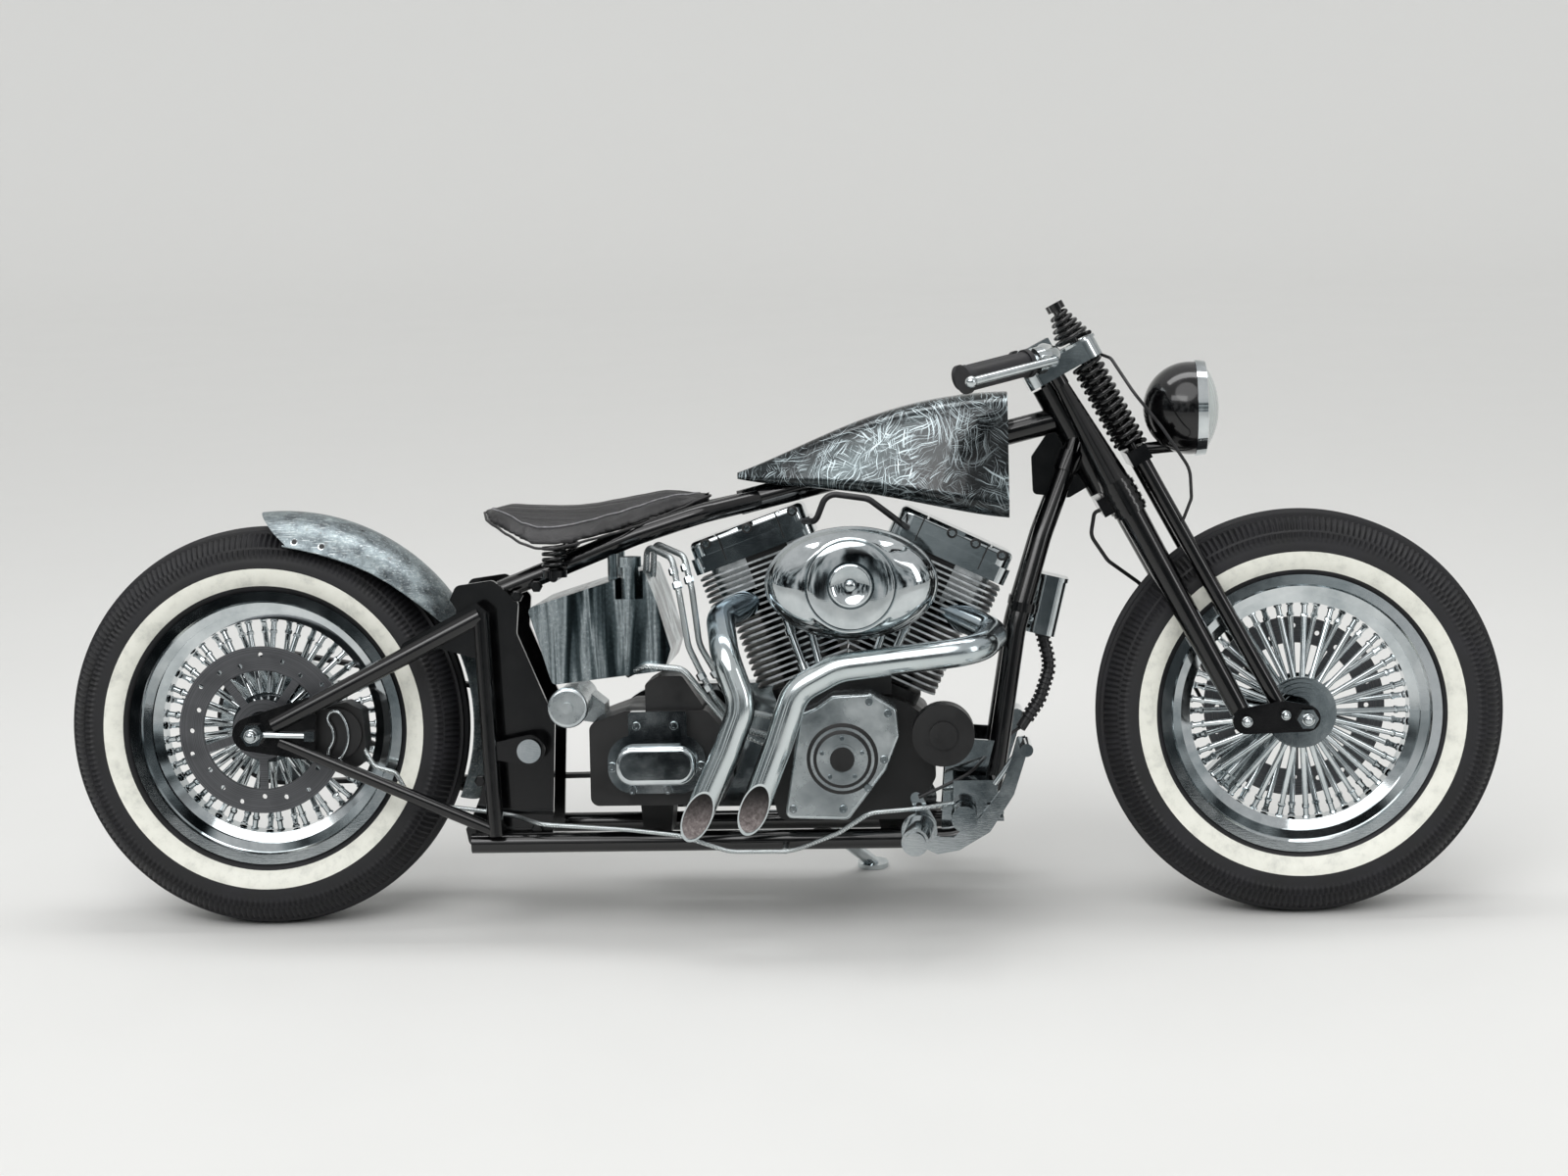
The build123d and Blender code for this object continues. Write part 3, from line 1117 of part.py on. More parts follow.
def hose_part(regulator):
    """Corrugated sleeve from the canister's foot, and the thin lead that leaves it."""
    route = [(421, 0, 462), (436, -4, 398), (418, -14, 345), (386, -26, 300)]
    bends = [60, 60]
    hose = bent(route, bends, CORRUGATED_RADIUS)
    for plane in along_path(route, bends, CORRUGATED_PITCH, 12, 158):
        hose += plane * Cylinder(CORRUGATED_RADIUS + 3, CORRUGATED_PITCH / 2)
    hose += bent([(390, -25, 304), (352, -40, 280), (300, -180, 246), (222, -202, 214)], [30, 60], CABLE_RADIUS)
    return hose - regulator


def line_parts():
    """Brake line along the lower rail, and the oil lines from tank to engine."""
    brake = bent(
        [
            (rear_axle_x + 164.5, -98, 296), (rear_axle_x + 186.5, -106, 262), (rear_axle_x + 220.5, -109, 252),
            (-598, -110, 226), (-556, -111, 200),
            (-474, -104, 188), (-424, -104, 180), (-376, -150, 172), (-240, -150, 162), (-157, -150, 152), (-78, -152, 125),
            (20, -158, 125), (96, -188, 158), (146, -206, 192), (228, -206, 198), (284, -182, 204),
        ],
        [12, 12, 12, 40, 40, 30, 40, 120, 120, 80, 80, 60, 40, 30],
        BRAKE_LINE_RADIUS,
    )
    clip = rod((10, -124, 128), (10, -160, 126), 5)
    oil = []
    for points, bends in (
        ([(-208, -76, 556), (-204, -80, 606), (-160, -138, 590), (-148, -150, 530), (-136, -150, 450),
          (-100, -146, 372), (-64, -126, 318), (-2, -100, 300)],
         [14, 20, 40, 60, 60, 20]),
        ([(-198, -56, 556), (-194, -60, 610), (-142, -122, 592), (-130, -134, 540), (-120, -134, 452),
          (-76, -128, 372), (-40, -106, 340), (0, -96, 330)],
         [14, 20, 30, 60, 60, 12]),
        ([(-236, -120, 405), (-204, -152, 422), (-144, -156, 416), (-104, -156, 362), (-68, -150, 318), (0, -98, 280)],
         [16, 30, 40, 20]),
    ):
        oil.append(bent(points, bends, OIL_LINE_RADIUS))
    return brake + clip, oil


def breather_part():
    """Hose arched between the two rocker covers."""
    return bent(
        [(40, -55, 640), (66, -96, 642), (84, -100, 686), (150, -100, 676), (196, -96, 640), (214, -55, 624)],
        [14, 22, 30, 20],
        BREATHER_RADIUS,
    )


def cable_part():
    """Cable looping past the springs to the right sprung leg, and the hose to the front caliper."""
    cable = bent(
        [on_head(80, 0, 20), (536, -62, 890), (568, -108, 836), (612, -108, 780), (655, -108, 714), (657, -104, 668),
         (645, -96, 636), (636, -84, 620)],
        [20, 40, 120, 50, 20, 8],
        CABLE_RADIUS,
    )
    hose = bent(
        [(536, 30, 650), (512, 34, 642), (506, 40, 604), (534, 52, 562), (590, 80, 520), (650, 92, 400),
         (706, 90, 290), (730, 72, 246)],
        [10, 26, 30, 40, 90, 60],
        BRAKE_HOSE_RADIUS,
    )
    return cable, hose


tyre_rise = CROWN_RADIUS * (1 - math.cos(math.radians(LEAN)))

frame = frame_parts()
downs = frame["downtubes"].solids()
rail_solids = frame["lower_rails"].solids()
engine = engine_parts()
pipes = exhaust_parts()
engine["front_cylinder"] -= pipes["front_exhaust"]
engine["rear_cylinder"] -= pipes["rear_exhaust"]
right_control = control_parts() - [*downs, *rail_solids, engine["oil_filter"]]
left_control = mirrored(control_parts()) - [*downs, *rail_solids]
brake_line, oil_lines = line_parts()
rear_end = swingarm_parts()
brake_line -= [*rail_solids, right_control, rear_end["rear_caliper"]]
body = body_parts(frame["upper_frame"])
regulator = regulator_part() - downs
fork = fork_parts()
bars = bar_parts()
axle_set = front_axle_parts()
cable, hose = cable_part()
cable -= [fork["spring_fork"], fork["top_yoke"], bars["handlebar"]]
hose -= [fork["rigid_fork"], axle_set["front_caliper"]]
bodies = {
    "chassis": {
        **frame,
        **rear_end,
        **engine,
        **pipes,
        "breather_hose": breather_part() - engine["rocker_covers"].solids(),
        **belt_part(),
        **body,
        "forward_controls": Compound([right_control, left_control]),
        "regulator": regulator,
        "regulator_hose": hose_part(regulator) - [*downs, right_control],
        "brake_line": brake_line,
        "oil_lines": Compound([line - [engine["crankcase"], engine["gearbox"], body["oil_tank"]] for line in oil_lines]),
    },
    "steering": {
        **fork,
        **bars,
        **lamp_parts(fork["spring_fork"]),
        **axle_set,
        "control_cables": Compound([cable, hose]),
    },
    "front_wheel": front_wheel_parts(),
    "rear_wheel": rear_wheel_parts(),
    "side_stand": stand_part(),
}

leaned = {
    moving: {name: Pos(0, 0, tyre_rise) * Rot(X=-LEAN) * piece for name, piece in pieces.items()}
    for moving, pieces in bodies.items()
}
box = Compound([piece for pieces in leaned.values() for piece in pieces.values()]).bounding_box()
to_origin = Vector(-(box.min.X + box.max.X) / 2, -(box.min.Y + box.max.Y) / 2, 0)

os.makedirs("parts", exist_ok=True)
for pieces in leaned.values():
    for name, piece in pieces.items():
        export_step(Pos(to_origin) * piece, f"parts/{name}.step")
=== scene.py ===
import bmesh
import bpy
import json
import math
from mathutils import Matrix, Vector
from mathutils.bvhtree import BVHTree


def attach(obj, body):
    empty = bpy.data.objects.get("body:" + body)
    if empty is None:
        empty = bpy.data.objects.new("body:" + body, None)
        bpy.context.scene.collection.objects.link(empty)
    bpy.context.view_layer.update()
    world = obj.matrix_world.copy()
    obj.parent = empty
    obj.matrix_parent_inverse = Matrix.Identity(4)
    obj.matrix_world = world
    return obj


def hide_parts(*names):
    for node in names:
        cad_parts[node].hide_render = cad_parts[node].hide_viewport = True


bl_info = {
    "name": "Bobber Motorcycle Dressing",
    "version": (1, 0, 0),
    "blender": (4, 5, 0),
    "location": "3D View > Sidebar > Bobber",
    "description": "Dresses the motorcycle's frame with tread, saddle, fasteners, trim and finishes",
    "category": "Object",
}

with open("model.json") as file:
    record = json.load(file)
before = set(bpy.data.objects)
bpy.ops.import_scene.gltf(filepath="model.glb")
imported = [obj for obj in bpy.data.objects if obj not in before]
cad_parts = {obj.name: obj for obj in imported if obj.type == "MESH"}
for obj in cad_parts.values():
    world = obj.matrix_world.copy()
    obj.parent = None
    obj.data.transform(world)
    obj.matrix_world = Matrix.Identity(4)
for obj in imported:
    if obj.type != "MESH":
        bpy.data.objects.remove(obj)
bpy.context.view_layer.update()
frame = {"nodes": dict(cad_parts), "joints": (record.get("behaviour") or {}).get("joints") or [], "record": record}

# The bike is drawn upright in its own axes, x forward, y left, z up from the ground midway
# between the wheels. This matrix leans it on its side stand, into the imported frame.
AXLE_Z = 0.320
joints = {joint["name"]: joint for joint in frame["joints"]}
bike_left = Vector(joints["rear_wheel_spin"]["axis"])
bike_up = Vector((1, 0, 0)).cross(bike_left)
rear_axle = Vector(joints["rear_wheel_spin"]["pos_m"])
bike_origin = Vector((0, rear_axle.y, rear_axle.z)) - bike_up * AXLE_Z
bike = Matrix.Translation(bike_origin) @ Matrix((Vector((1, 0, 0)), bike_left, bike_up)).transposed().to_4x4()
LEAN = math.atan2(bike_left.z, bike_left.y)
WHEEL_X = {"front": joints["front_wheel_spin"]["pos_m"][0], "rear": rear_axle.x}
RIGHT, LEFT = (0, -1, 0), (0, 1, 0)
MM = 0.001

# Where the two cylinders' axes meet, how far each leans from the vee's middle, and the vee's own tilt
VEE_FOOT = (0.103, 0.262)
VEE_ANGLE = 22.5
VEE_TILT = 2.8


def linear(code):
    """Linear colour of an sRGB hex value."""
    values = [int(code[i:i + 2], 16) / 255 for i in (1, 3, 5)]
    return tuple(v / 12.92 if v <= 0.04045 else ((v + 0.055) / 1.055) ** 2.4 for v in values) + (1.0,)


def add(tree, kind, inputs=None, stops=None, **settings):
    """Adds a node with its settings and links. inputs gives each socket a value, or the node
    or socket that drives it, and stops gives a colour ramp its (position, sRGB hex) pairs."""
    made = tree.nodes.new(kind)
    for name, value in settings.items():
        setattr(made, name, value)
    for name, value in (inputs or {}).items():
        if isinstance(value, bpy.types.Node):
            value = value.outputs[0]
        if isinstance(value, bpy.types.NodeSocket):
            tree.links.new(value, made.inputs[name])
        else:
            made.inputs[name].default_value = value
    if stops:
        elements = made.color_ramp.elements
        while len(elements) < len(stops):
            elements.new(0.5)
        for element, (position, code) in zip(elements, stops):
            element.position = position
            element.color = linear(code)
    return made


def new_finish(name, centre=(0.0, 0.0, 0.0)):
    """Empty material, its tree, and the place on a piece in the bike's own upright axes from a centre."""
    material = bpy.data.materials.new(name)
    material.use_nodes = True
    tree = material.node_tree
    tree.nodes.clear()
    where = add(tree, "ShaderNodeTexCoord")
    place = add(tree, "ShaderNodeMapping", {
        "Vector": where.outputs["Object"], "Location": bike @ Vector(centre), "Rotation": (LEAN, 0, 0),
    }, vector_type="TEXTURE")
    return material, tree, place


def surface(tree, colour, smoothness, relief, sockets=None):
    """Closes a finish with its shader.

    smoothness is (pattern, roughness at its low end, at its high end) and may go on with that
    range of the pattern; relief is (pattern, strength, height in metres).
    """
    pattern, low_end, high_end, *span = smoothness
    span = span or (0.3, 0.7)
    roughness = add(tree, "ShaderNodeMapRange", {
        "Value": pattern, "From Min": span[0], "From Max": span[1], "To Min": low_end, "To Max": high_end,
    })
    pattern, strength, height = relief
    raised = add(tree, "ShaderNodeBump", {"Height": pattern, "Strength": strength, "Distance": height})
    shader = add(tree, "ShaderNodeBsdfPrincipled", {
        "Base Color": colour, "Roughness": roughness, "Normal": raised, **(sockets or {}),
    })
    add(tree, "ShaderNodeOutputMaterial", {"Surface": shader})


def show_chrome(name="show_chrome", tint="#c9cfd1", haze=(0.03, 0.11)):
    # Show chrome over polished steel: a mirror with faint wipe marks and a haze of road dust
    material, tree, place = new_finish(name)
    smear = add(tree, "ShaderNodeTexNoise", {"Vector": place, "Scale": 14.0, "Detail": 7.0, "Roughness": 0.62})
    long = add(tree, "ShaderNodeMapping", {
        "Vector": place, "Scale": (90.0, 90.0, 900.0), "Rotation": (0.3, 0.5, 0.2),
    })
    wipe = add(tree, "ShaderNodeTexNoise", {"Vector": long, "Scale": 1.0, "Detail": 2.0})
    colour = add(tree, "ShaderNodeValToRGB", {"Fac": smear}, ((0.3, "#a3abae"), (0.55, tint), (0.8, "#dde2e3")))
    surface(tree, colour, (smear, *haze), (wipe, 0.03, 0.0004), {"Metallic": 1.0})
    return material


def heat_chrome():
    # Chromed drag pipe: mirror chrome a little blue where the pipe runs hottest, near the cylinders
    material, tree, place = new_finish("heat_tinted_chrome")
    parts = add(tree, "ShaderNodeSeparateXYZ", {"Vector": place})
    smear = add(tree, "ShaderNodeTexNoise", {"Vector": place, "Scale": 17.0, "Detail": 6.0, "Roughness": 0.6})
    height = add(tree, "ShaderNodeMath", {0: smear, 1: 0.1, 2: parts.outputs["Z"]}, operation="MULTIPLY_ADD")
    heat = add(tree, "ShaderNodeMapRange", {"Value": height, "From Min": 0.16, "From Max": 0.56})
    tint = add(tree, "ShaderNodeValToRGB", {"Fac": heat}, (
        (0.0, "#bcc4c6"), (0.55, "#d3dadb"), (0.8, "#c3cbcc"), (0.92, "#adb8bd"), (1.0, "#97a7b1"),
    ))
    surface(tree, tint, (smear, 0.07, 0.24), (smear, 0.05, 0.001), {"Metallic": 1.0})
    return material


def clouded(name, patch, fine, stops, dullness, relief, sockets=None):
    """Finish of one broad noise, which gives colour and dullness, and a fine one, which gives relief.

    Each noise is its (scale, detail, roughness). dullness is the roughness at the broad noise's low
    and high end, relief the strength and height in metres.
    """
    material, tree, place = new_finish(name)
    broad, small = (
        add(tree, "ShaderNodeTexNoise", {"Vector": place, "Scale": scale, "Detail": detail, "Roughness": roughness})
        for scale, detail, roughness in (patch, fine)
    )
    colour = add(tree, "ShaderNodeValToRGB", {"Fac": broad}, stops)
    surface(tree, colour, (broad, *dullness), (small, *relief), sockets)
    return material


def frame_enamel():
    # Black frame enamel, sprayed and wet-looking: orange peel about 2 mm across and a film of dust on top
    return clouded(
        "gloss_frame_enamel", (22.0, 8.0, 0.65), (480.0, 1.0, 0.5),
        ((0.42, "#030304"), (0.66, "#080809"), (0.85, "#131314")), (0.1, 0.26), (0.08, 0.0003),
        {"IOR": 1.38, "Coat Weight": 0.5, "Coat Roughness": 0.07},
    )


def engine_enamel():
    # Satin black engine paint over sand casting: dull, slightly grainy, oil-darkened in patches
    return clouded(
        "satin_engine_enamel", (16.0, 8.0, 0.65), (900.0, 3.0, 0.5),
        ((0.35, "#050506"), (0.6, "#0c0c0d"), (0.85, "#1a1a1b")), (0.3, 0.58), (0.25, 0.0004),
    )


def cast_alloy():
    # Cast aluminium, bead blasted: pale grey and evenly dull
    return clouded(
        "cast_aluminium", (20.0, 6.0, 0.7), (600.0, 4.0, 0.5),
        ((0.35, "#6f7273"), (0.65, "#a7abab")), (0.38, 0.55), (0.2, 0.0004), {"Metallic": 0.9},
    )


def tyre_rubber():
    # Moulded tyre rubber with a faint violet bloom: matt, greyer where the road has scuffed it
    return clouded(
        "moulded_tyre_rubber", (13.0, 8.0, 0.65), (420.0, 4.0, 0.7),
        ((0.35, "#0b0b0d"), (0.55, "#131317"), (0.8, "#232227")), (0.5, 0.72), (0.25, 0.0006),
    )


def black_rubber(name, scale=300.0):
    # Moulded black rubber: matt with a fine even skin
    return clouded(
        name, (25.0, 6.0, 0.5), (scale, 4.0, 0.6),
        ((0.35, "#0f0f11"), (0.75, "#26262a")), (0.42, 0.62), (0.2, 0.0005),
    )


def piping_painted_highlight():
    # Rolled leather piping, pale grey all over as a painted highlight: a thin grey line that stands for the light its
    # rolled top catches
    return clouded(
        "rolled_piping_painted_highlight", (110.0, 6.0, 0.7), (110.0, 6.0, 0.7),
        ((0.3, "#4a494c"), (0.7, "#8d8d90")), (0.5, 0.35), (0.2, 0.0004),
    )


def hose_skin():
    # Extruded black plastic hose and cable sleeve: smooth and half dull
    return clouded(
        "extruded_black_sleeve", (40.0, 6.0, 0.65), (40.0, 6.0, 0.65),
        ((0.4, "#0c0c0e"), (0.75, "#2b2b2e")), (0.3, 0.5), (0.1, 0.0004),
    )


def finned_enamel(name, turn):
    # Cylinder painted black, its fin edges machined back to bright aluminium: thin pale lines over dark gaps.
    # Metal shows far from the cylinder's axis, on faces that stand along it.
    material, tree, place = new_finish(name, (VEE_FOOT[0], 0.0, VEE_FOOT[1]))
    turned = add(tree, "ShaderNodeMapping", {"Vector": place, "Rotation": (0, turn, 0)}, vector_type="TEXTURE")
    parts = add(tree, "ShaderNodeSeparateXYZ", {"Vector": turned})
    out = add(tree, "ShaderNodeCombineXYZ", {
        "X": add(tree, "ShaderNodeMath", {0: parts.outputs["X"], 1: 0.92}, operation="DIVIDE"),
        "Y": add(tree, "ShaderNodeMath", {0: parts.outputs["Y"], 1: 0.70}, operation="DIVIDE"),
    })
    reach = add(tree, "ShaderNodeVectorMath", {0: out}, operation="LENGTH")
    rim = add(tree, "ShaderNodeMath", {0: reach.outputs["Value"], 1: 0.09}, operation="GREATER_THAN")
    axis = bike.to_3x3() @ Vector((math.sin(turn), 0.0, math.cos(turn)))
    facing = add(tree, "ShaderNodeTexCoord")
    lean = add(tree, "ShaderNodeVectorMath", {0: facing.outputs["Normal"], 1: axis}, operation="DOT_PRODUCT")
    steep = add(tree, "ShaderNodeMath", {0: lean.outputs["Value"]}, operation="ABSOLUTE")
    edge = add(tree, "ShaderNodeMath", {0: steep, 1: 0.5}, operation="LESS_THAN")
    bright = add(tree, "ShaderNodeMath", {0: rim, 1: edge}, operation="MULTIPLY")
    patch = add(tree, "ShaderNodeTexNoise", {"Vector": place, "Scale": 26.0, "Detail": 8.0, "Roughness": 0.7})
    paint = add(tree, "ShaderNodeValToRGB", {"Fac": patch}, ((0.35, "#040405"), (0.65, "#0a0a0b"), (0.85, "#151516")))
    metal = add(tree, "ShaderNodeValToRGB", {"Fac": patch}, ((0.3, "#84898b"), (0.5, "#c6cbcd"), (0.75, "#eef1f2")))
    colour = add(tree, "ShaderNodeMix", {"Factor": bright, "A": paint, "B": metal}, data_type="RGBA")
    surface(tree, colour.outputs[2], (patch, 0.28, 0.5), (patch, 0.12, 0.0006), {"Metallic": bright})
    return material


def mottled_steel():
    # Bare mild steel, ground along its length and left to the air: pale grey with fine scratches, faint
    # mottling and brown freckles
    material, tree, place = new_finish("mottled_bare_steel")
    cloud = add(tree, "ShaderNodeTexNoise", {"Vector": place, "Scale": 34.0, "Detail": 10.0, "Roughness": 0.74})
    long = add(tree, "ShaderNodeMapping", {"Vector": place, "Scale": (22.0, 260.0, 420.0), "Rotation": (0, 0.7, 0)})
    scratch = add(tree, "ShaderNodeTexNoise", {"Vector": long, "Scale": 1.0, "Detail": 4.0, "Roughness": 0.7})
    fleck = add(tree, "ShaderNodeTexVoronoi", {"Vector": place, "Scale": 150.0, "Randomness": 1.0})
    rust = add(tree, "ShaderNodeTexNoise", {"Vector": place, "Scale": 60.0, "Detail": 10.0, "Roughness": 0.8})
    colour = add(tree, "ShaderNodeValToRGB", {"Fac": cloud}, (
        (0.3, "#41474a"), (0.45, "#6f787c"), (0.58, "#8f9a9d"), (0.75, "#bcc6c7"),
    ))
    # Scratches, pale flecks and rust, each laid over the last from its pattern's range and amount
    for pattern, start, end, before, after, code in (
        (scratch, 0.55, 0.72, 0.0, 0.8, "#dfe6e6"),
        (fleck, 0.05, 0.3, 0.35, 0.0, "#d9e2e0"),
        (rust, 0.58, 0.7, 0.0, 0.7, "#5b4a3c"),
    ):
        amount = add(tree, "ShaderNodeMapRange", {
            "Value": pattern, "From Min": start, "From Max": end, "To Min": before, "To Max": after,
        })
        colour = add(tree, "ShaderNodeMix", {
            "Factor": amount, "A": colour, "B": linear(code),
        }, data_type="RGBA").outputs[2]
    surface(tree, colour, (cloud, 0.26, 0.5), (rust, 0.2, 0.0006), {"Metallic": 0.85})
    return material


def streaked_steel():
    # Oil tank in polished sheet steel, rubbed by hand from top to bottom: broad upright streaks from near black to
    # pale, partly its rubbing and partly painted reflections
    material, tree, place = new_finish("streaked_steel_painted_reflections")
    tall = add(tree, "ShaderNodeMapping", {"Vector": place, "Scale": (34.0, 16.0, 2.2), "Rotation": (0, 0.2, 0)})
    streak_and_reflection = add(tree, "ShaderNodeTexNoise", {
        "Vector": tall, "Scale": 1.0, "Detail": 3.0, "Roughness": 0.5, "Distortion": 0.6,
    })
    fine = add(tree, "ShaderNodeTexNoise", {"Vector": place, "Scale": 190.0, "Detail": 6.0, "Roughness": 0.7})
    # Streak colours are partly brushing marks and partly painted reflections: near-black bands for dark surroundings,
    # pale ones for bright
    steel_and_painted_reflections = add(tree, "ShaderNodeValToRGB", {"Fac": streak_and_reflection}, (
        (0.32, "#101517"), (0.42, "#2b3639"), (0.49, "#6a777b"), (0.55, "#ccd6d9"), (0.62, "#7b888c"),
        (0.74, "#242e31"),
    ))
    surface(tree, steel_and_painted_reflections, (fine, 0.12, 0.3), (fine, 0.06, 0.0004), {"Metallic": 0.9})
    return material


# Four layers of strokes on the fuel tank: sheaves a metre, turn added to each sheaf, strokes a metre across
STROKE_LAYERS = ((15.0, 0.0, 480.0), (21.0, 2.1, 600.0), (29.0, 4.0, 700.0), (41.0, 5.2, 820.0))


def swirled_steel():
    # Fuel tank in bare steel under clear coat, scoured in sheaves of fine curved strokes 20 to 60 mm long:
    # frosty pale strokes that cross each other over a near-black ground. Drawn coarser than real scratches,
    # at 1 to 2 mm, so that they show.
    material, tree, place = new_finish("swirled_bare_steel")
    wobble = add(tree, "ShaderNodeTexNoise", {"Vector": place, "Scale": 11.0, "Detail": 2.0})
    curved = add(tree, "ShaderNodeMix", {
        "Factor": 0.05, "A": place, "B": wobble.outputs["Color"],
    }, data_type="VECTOR").outputs[1]
    strokes = None
    for scale, more_turn, fineness in STROKE_LAYERS:
        cell = add(tree, "ShaderNodeTexVoronoi", {"Vector": curved, "Scale": scale, "Randomness": 1.0})
        tone = add(tree, "ShaderNodeSeparateColor", {"Color": cell.outputs["Color"]})
        angle = add(tree, "ShaderNodeMath", {0: tone.outputs[0], 1: 6.283, 2: more_turn}, operation="MULTIPLY_ADD")
        turned = add(tree, "ShaderNodeVectorRotate", {
            "Vector": curved, "Angle": angle, "Axis": (0.1, 1.0, 0.1),
        }, rotation_type="AXIS_ANGLE")
        thin = add(tree, "ShaderNodeMapping", {"Vector": turned, "Scale": (13.0, 30.0, fineness)})
        line = add(tree, "ShaderNodeTexNoise", {"Vector": thin, "Scale": 1.0, "Detail": 1.0, "Roughness": 0.4})
        stroke = add(tree, "ShaderNodeMapRange", {"Value": line, "From Min": 0.6, "From Max": 0.68})
        middle = add(tree, "ShaderNodeMapRange", {
            "Value": cell, "From Min": 0.3, "From Max": 0.72, "To Min": 1.0, "To Max": 0.0,
        })
        faded = add(tree, "ShaderNodeMath", {0: stroke, 1: middle}, operation="MULTIPLY")
        if strokes:
            faded = add(tree, "ShaderNodeMath", {0: strokes, 1: faded}, operation="MAXIMUM")
        strokes = faded
    cloud = add(tree, "ShaderNodeTexNoise", {"Vector": place, "Scale": 8.0, "Detail": 5.0, "Roughness": 0.6})
    rub = add(tree, "ShaderNodeMapRange", {
        "Value": cloud, "From Min": 0.36, "From Max": 0.6, "To Min": 0.35, "To Max": 1.0,
    })
    seen = add(tree, "ShaderNodeMath", {0: strokes, 1: rub}, operation="MULTIPLY")
    ground = add(tree, "ShaderNodeValToRGB", {"Fac": cloud}, (
        (0.36, "#07090a"), (0.52, "#12181a"), (0.66, "#283234"), (0.8, "#4c5759"),
    ))
    colour = add(tree, "ShaderNodeMix", {"Factor": seen, "A": ground, "B": linear("#b9c6ca")}, data_type="RGBA")
    surface(tree, colour.outputs[2], (seen, 0.2, 0.4, 0.0, 1.0), (seen, 0.15, 0.0005), {
        "Metallic": 0.75, "Coat Weight": 0.4, "Coat Roughness": 0.06,
    })
    return material


def pipe_soot_and_shade():
    # Inside of an exhaust mouth: burnt brown-grey scale, quite matt, darkened by painted shade to nearly black deeper
    # in
    material, tree, place = new_finish("burnt_pipe_scale_and_shade")
    scale = add(tree, "ShaderNodeTexNoise", {"Vector": place, "Scale": 160.0, "Detail": 7.0, "Roughness": 0.7})
    parts = add(tree, "ShaderNodeSeparateXYZ", {"Vector": place})
    # Painted shade: the lining turns nearly black deeper inside the pipe
    deep = add(tree, "ShaderNodeMapRange", {"Value": parts.outputs["Z"], "From Min": 0.175, "From Max": 0.23})
    burnt = add(tree, "ShaderNodeValToRGB", {"Fac": scale}, ((0.3, "#4a4240"), (0.5, "#7a7170"), (0.7, "#a39c9a")))
    colour = add(tree, "ShaderNodeMix", {"Factor": deep, "A": burnt, "B": linear("#0d0c0d")}, data_type="RGBA")
    surface(tree, colour.outputs[2], (scale, 0.55, 0.8), (scale, 0.3, 0.0006))
    return material


def whitewall_rubber():
    # White sidewall rubber, scrubbed: cream with faint grey scuffs round the wheel
    material, tree, place = new_finish("whitewall_rubber")
    scuff = add(tree, "ShaderNodeTexNoise", {"Vector": place, "Scale": 30.0, "Detail": 9.0, "Roughness": 0.7})
    speck = add(tree, "ShaderNodeTexNoise", {"Vector": place, "Scale": 240.0, "Detail": 5.0, "Roughness": 0.75})
    pale = add(tree, "ShaderNodeValToRGB", {"Fac": scuff}, ((0.25, "#bfc0b8"), (0.5, "#e4e4da"), (0.8, "#efefe6")))
    specks = add(tree, "ShaderNodeMapRange", {"Value": speck, "From Min": 0.6, "From Max": 0.75, "To Max": 0.4})
    colour = add(tree, "ShaderNodeMix", {"Factor": specks, "A": pale, "B": linear("#a7a9a4")}, data_type="RGBA")
    surface(tree, colour.outputs[2], (scuff, 0.4, 0.55), (speck, 0.12, 0.0004))
    return material


def disc_iron(name, side):
    # Brake disc in ground stainless iron: grey rings left by the pads about a millimetre apart
    material, tree, place = new_finish(name, (WHEEL_X[side], 0, AXLE_Z))
    parts = add(tree, "ShaderNodeSeparateXYZ", {"Vector": place})
    flat = add(tree, "ShaderNodeCombineXYZ", {"X": parts.outputs["X"], "Z": parts.outputs["Z"]})
    radius = add(tree, "ShaderNodeVectorMath", {0: flat}, operation="LENGTH")
    ringed = add(tree, "ShaderNodeCombineXYZ", {"X": radius.outputs["Value"]})
    rings = add(tree, "ShaderNodeTexNoise", {"Vector": ringed, "Scale": 700.0, "Detail": 3.0})
    patch = add(tree, "ShaderNodeTexNoise", {"Vector": place, "Scale": 30.0, "Detail": 6.0})
    colour = add(tree, "ShaderNodeValToRGB", {"Fac": rings}, ((0.3, "#3e3f41"), (0.7, "#77787b")))
    surface(tree, colour, (patch, 0.3, 0.46), (rings, 0.12, 0.0004), {"Metallic": 0.9})
    return material


def saddle_leather():
    # Dyed saddle leather: near black, pebbled grain about 2 mm across, burnished where it is sat on
    material, tree, place = new_finish("dyed_saddle_leather")
    warp = add(tree, "ShaderNodeTexNoise", {"Vector": place, "Scale": 60.0, "Detail": 3.0})
    moved = add(tree, "ShaderNodeMix", {
        "Factor": 0.012, "A": place, "B": warp.outputs["Color"],
    }, data_type="VECTOR").outputs[1]
    pebble = add(tree, "ShaderNodeTexVoronoi", {"Vector": moved, "Scale": 520.0}, feature="DISTANCE_TO_EDGE")
    wear = add(tree, "ShaderNodeTexNoise", {"Vector": place, "Scale": 12.0, "Detail": 7.0, "Roughness": 0.6})
    crease = add(tree, "ShaderNodeTexNoise", {
        "Vector": place, "Scale": 90.0, "Detail": 8.0, "Roughness": 0.75, "Distortion": 0.8,
    })
    colour = add(tree, "ShaderNodeValToRGB", {"Fac": wear}, ((0.3, "#0b0b0c"), (0.55, "#141315"), (0.8, "#252427")))
    pebbles = add(tree, "ShaderNodeMapRange", {"Value": pebble, "From Min": 0.0, "From Max": 0.18})
    grain = add(tree, "ShaderNodeMath", {0: crease, 1: 0.25, 2: pebbles}, operation="MULTIPLY_ADD")
    surface(tree, colour, (wear, 0.46, 0.26), (grain, 0.35, 0.0007), {"Sheen Weight": 0.06, "Sheen Roughness": 0.4})
    return material


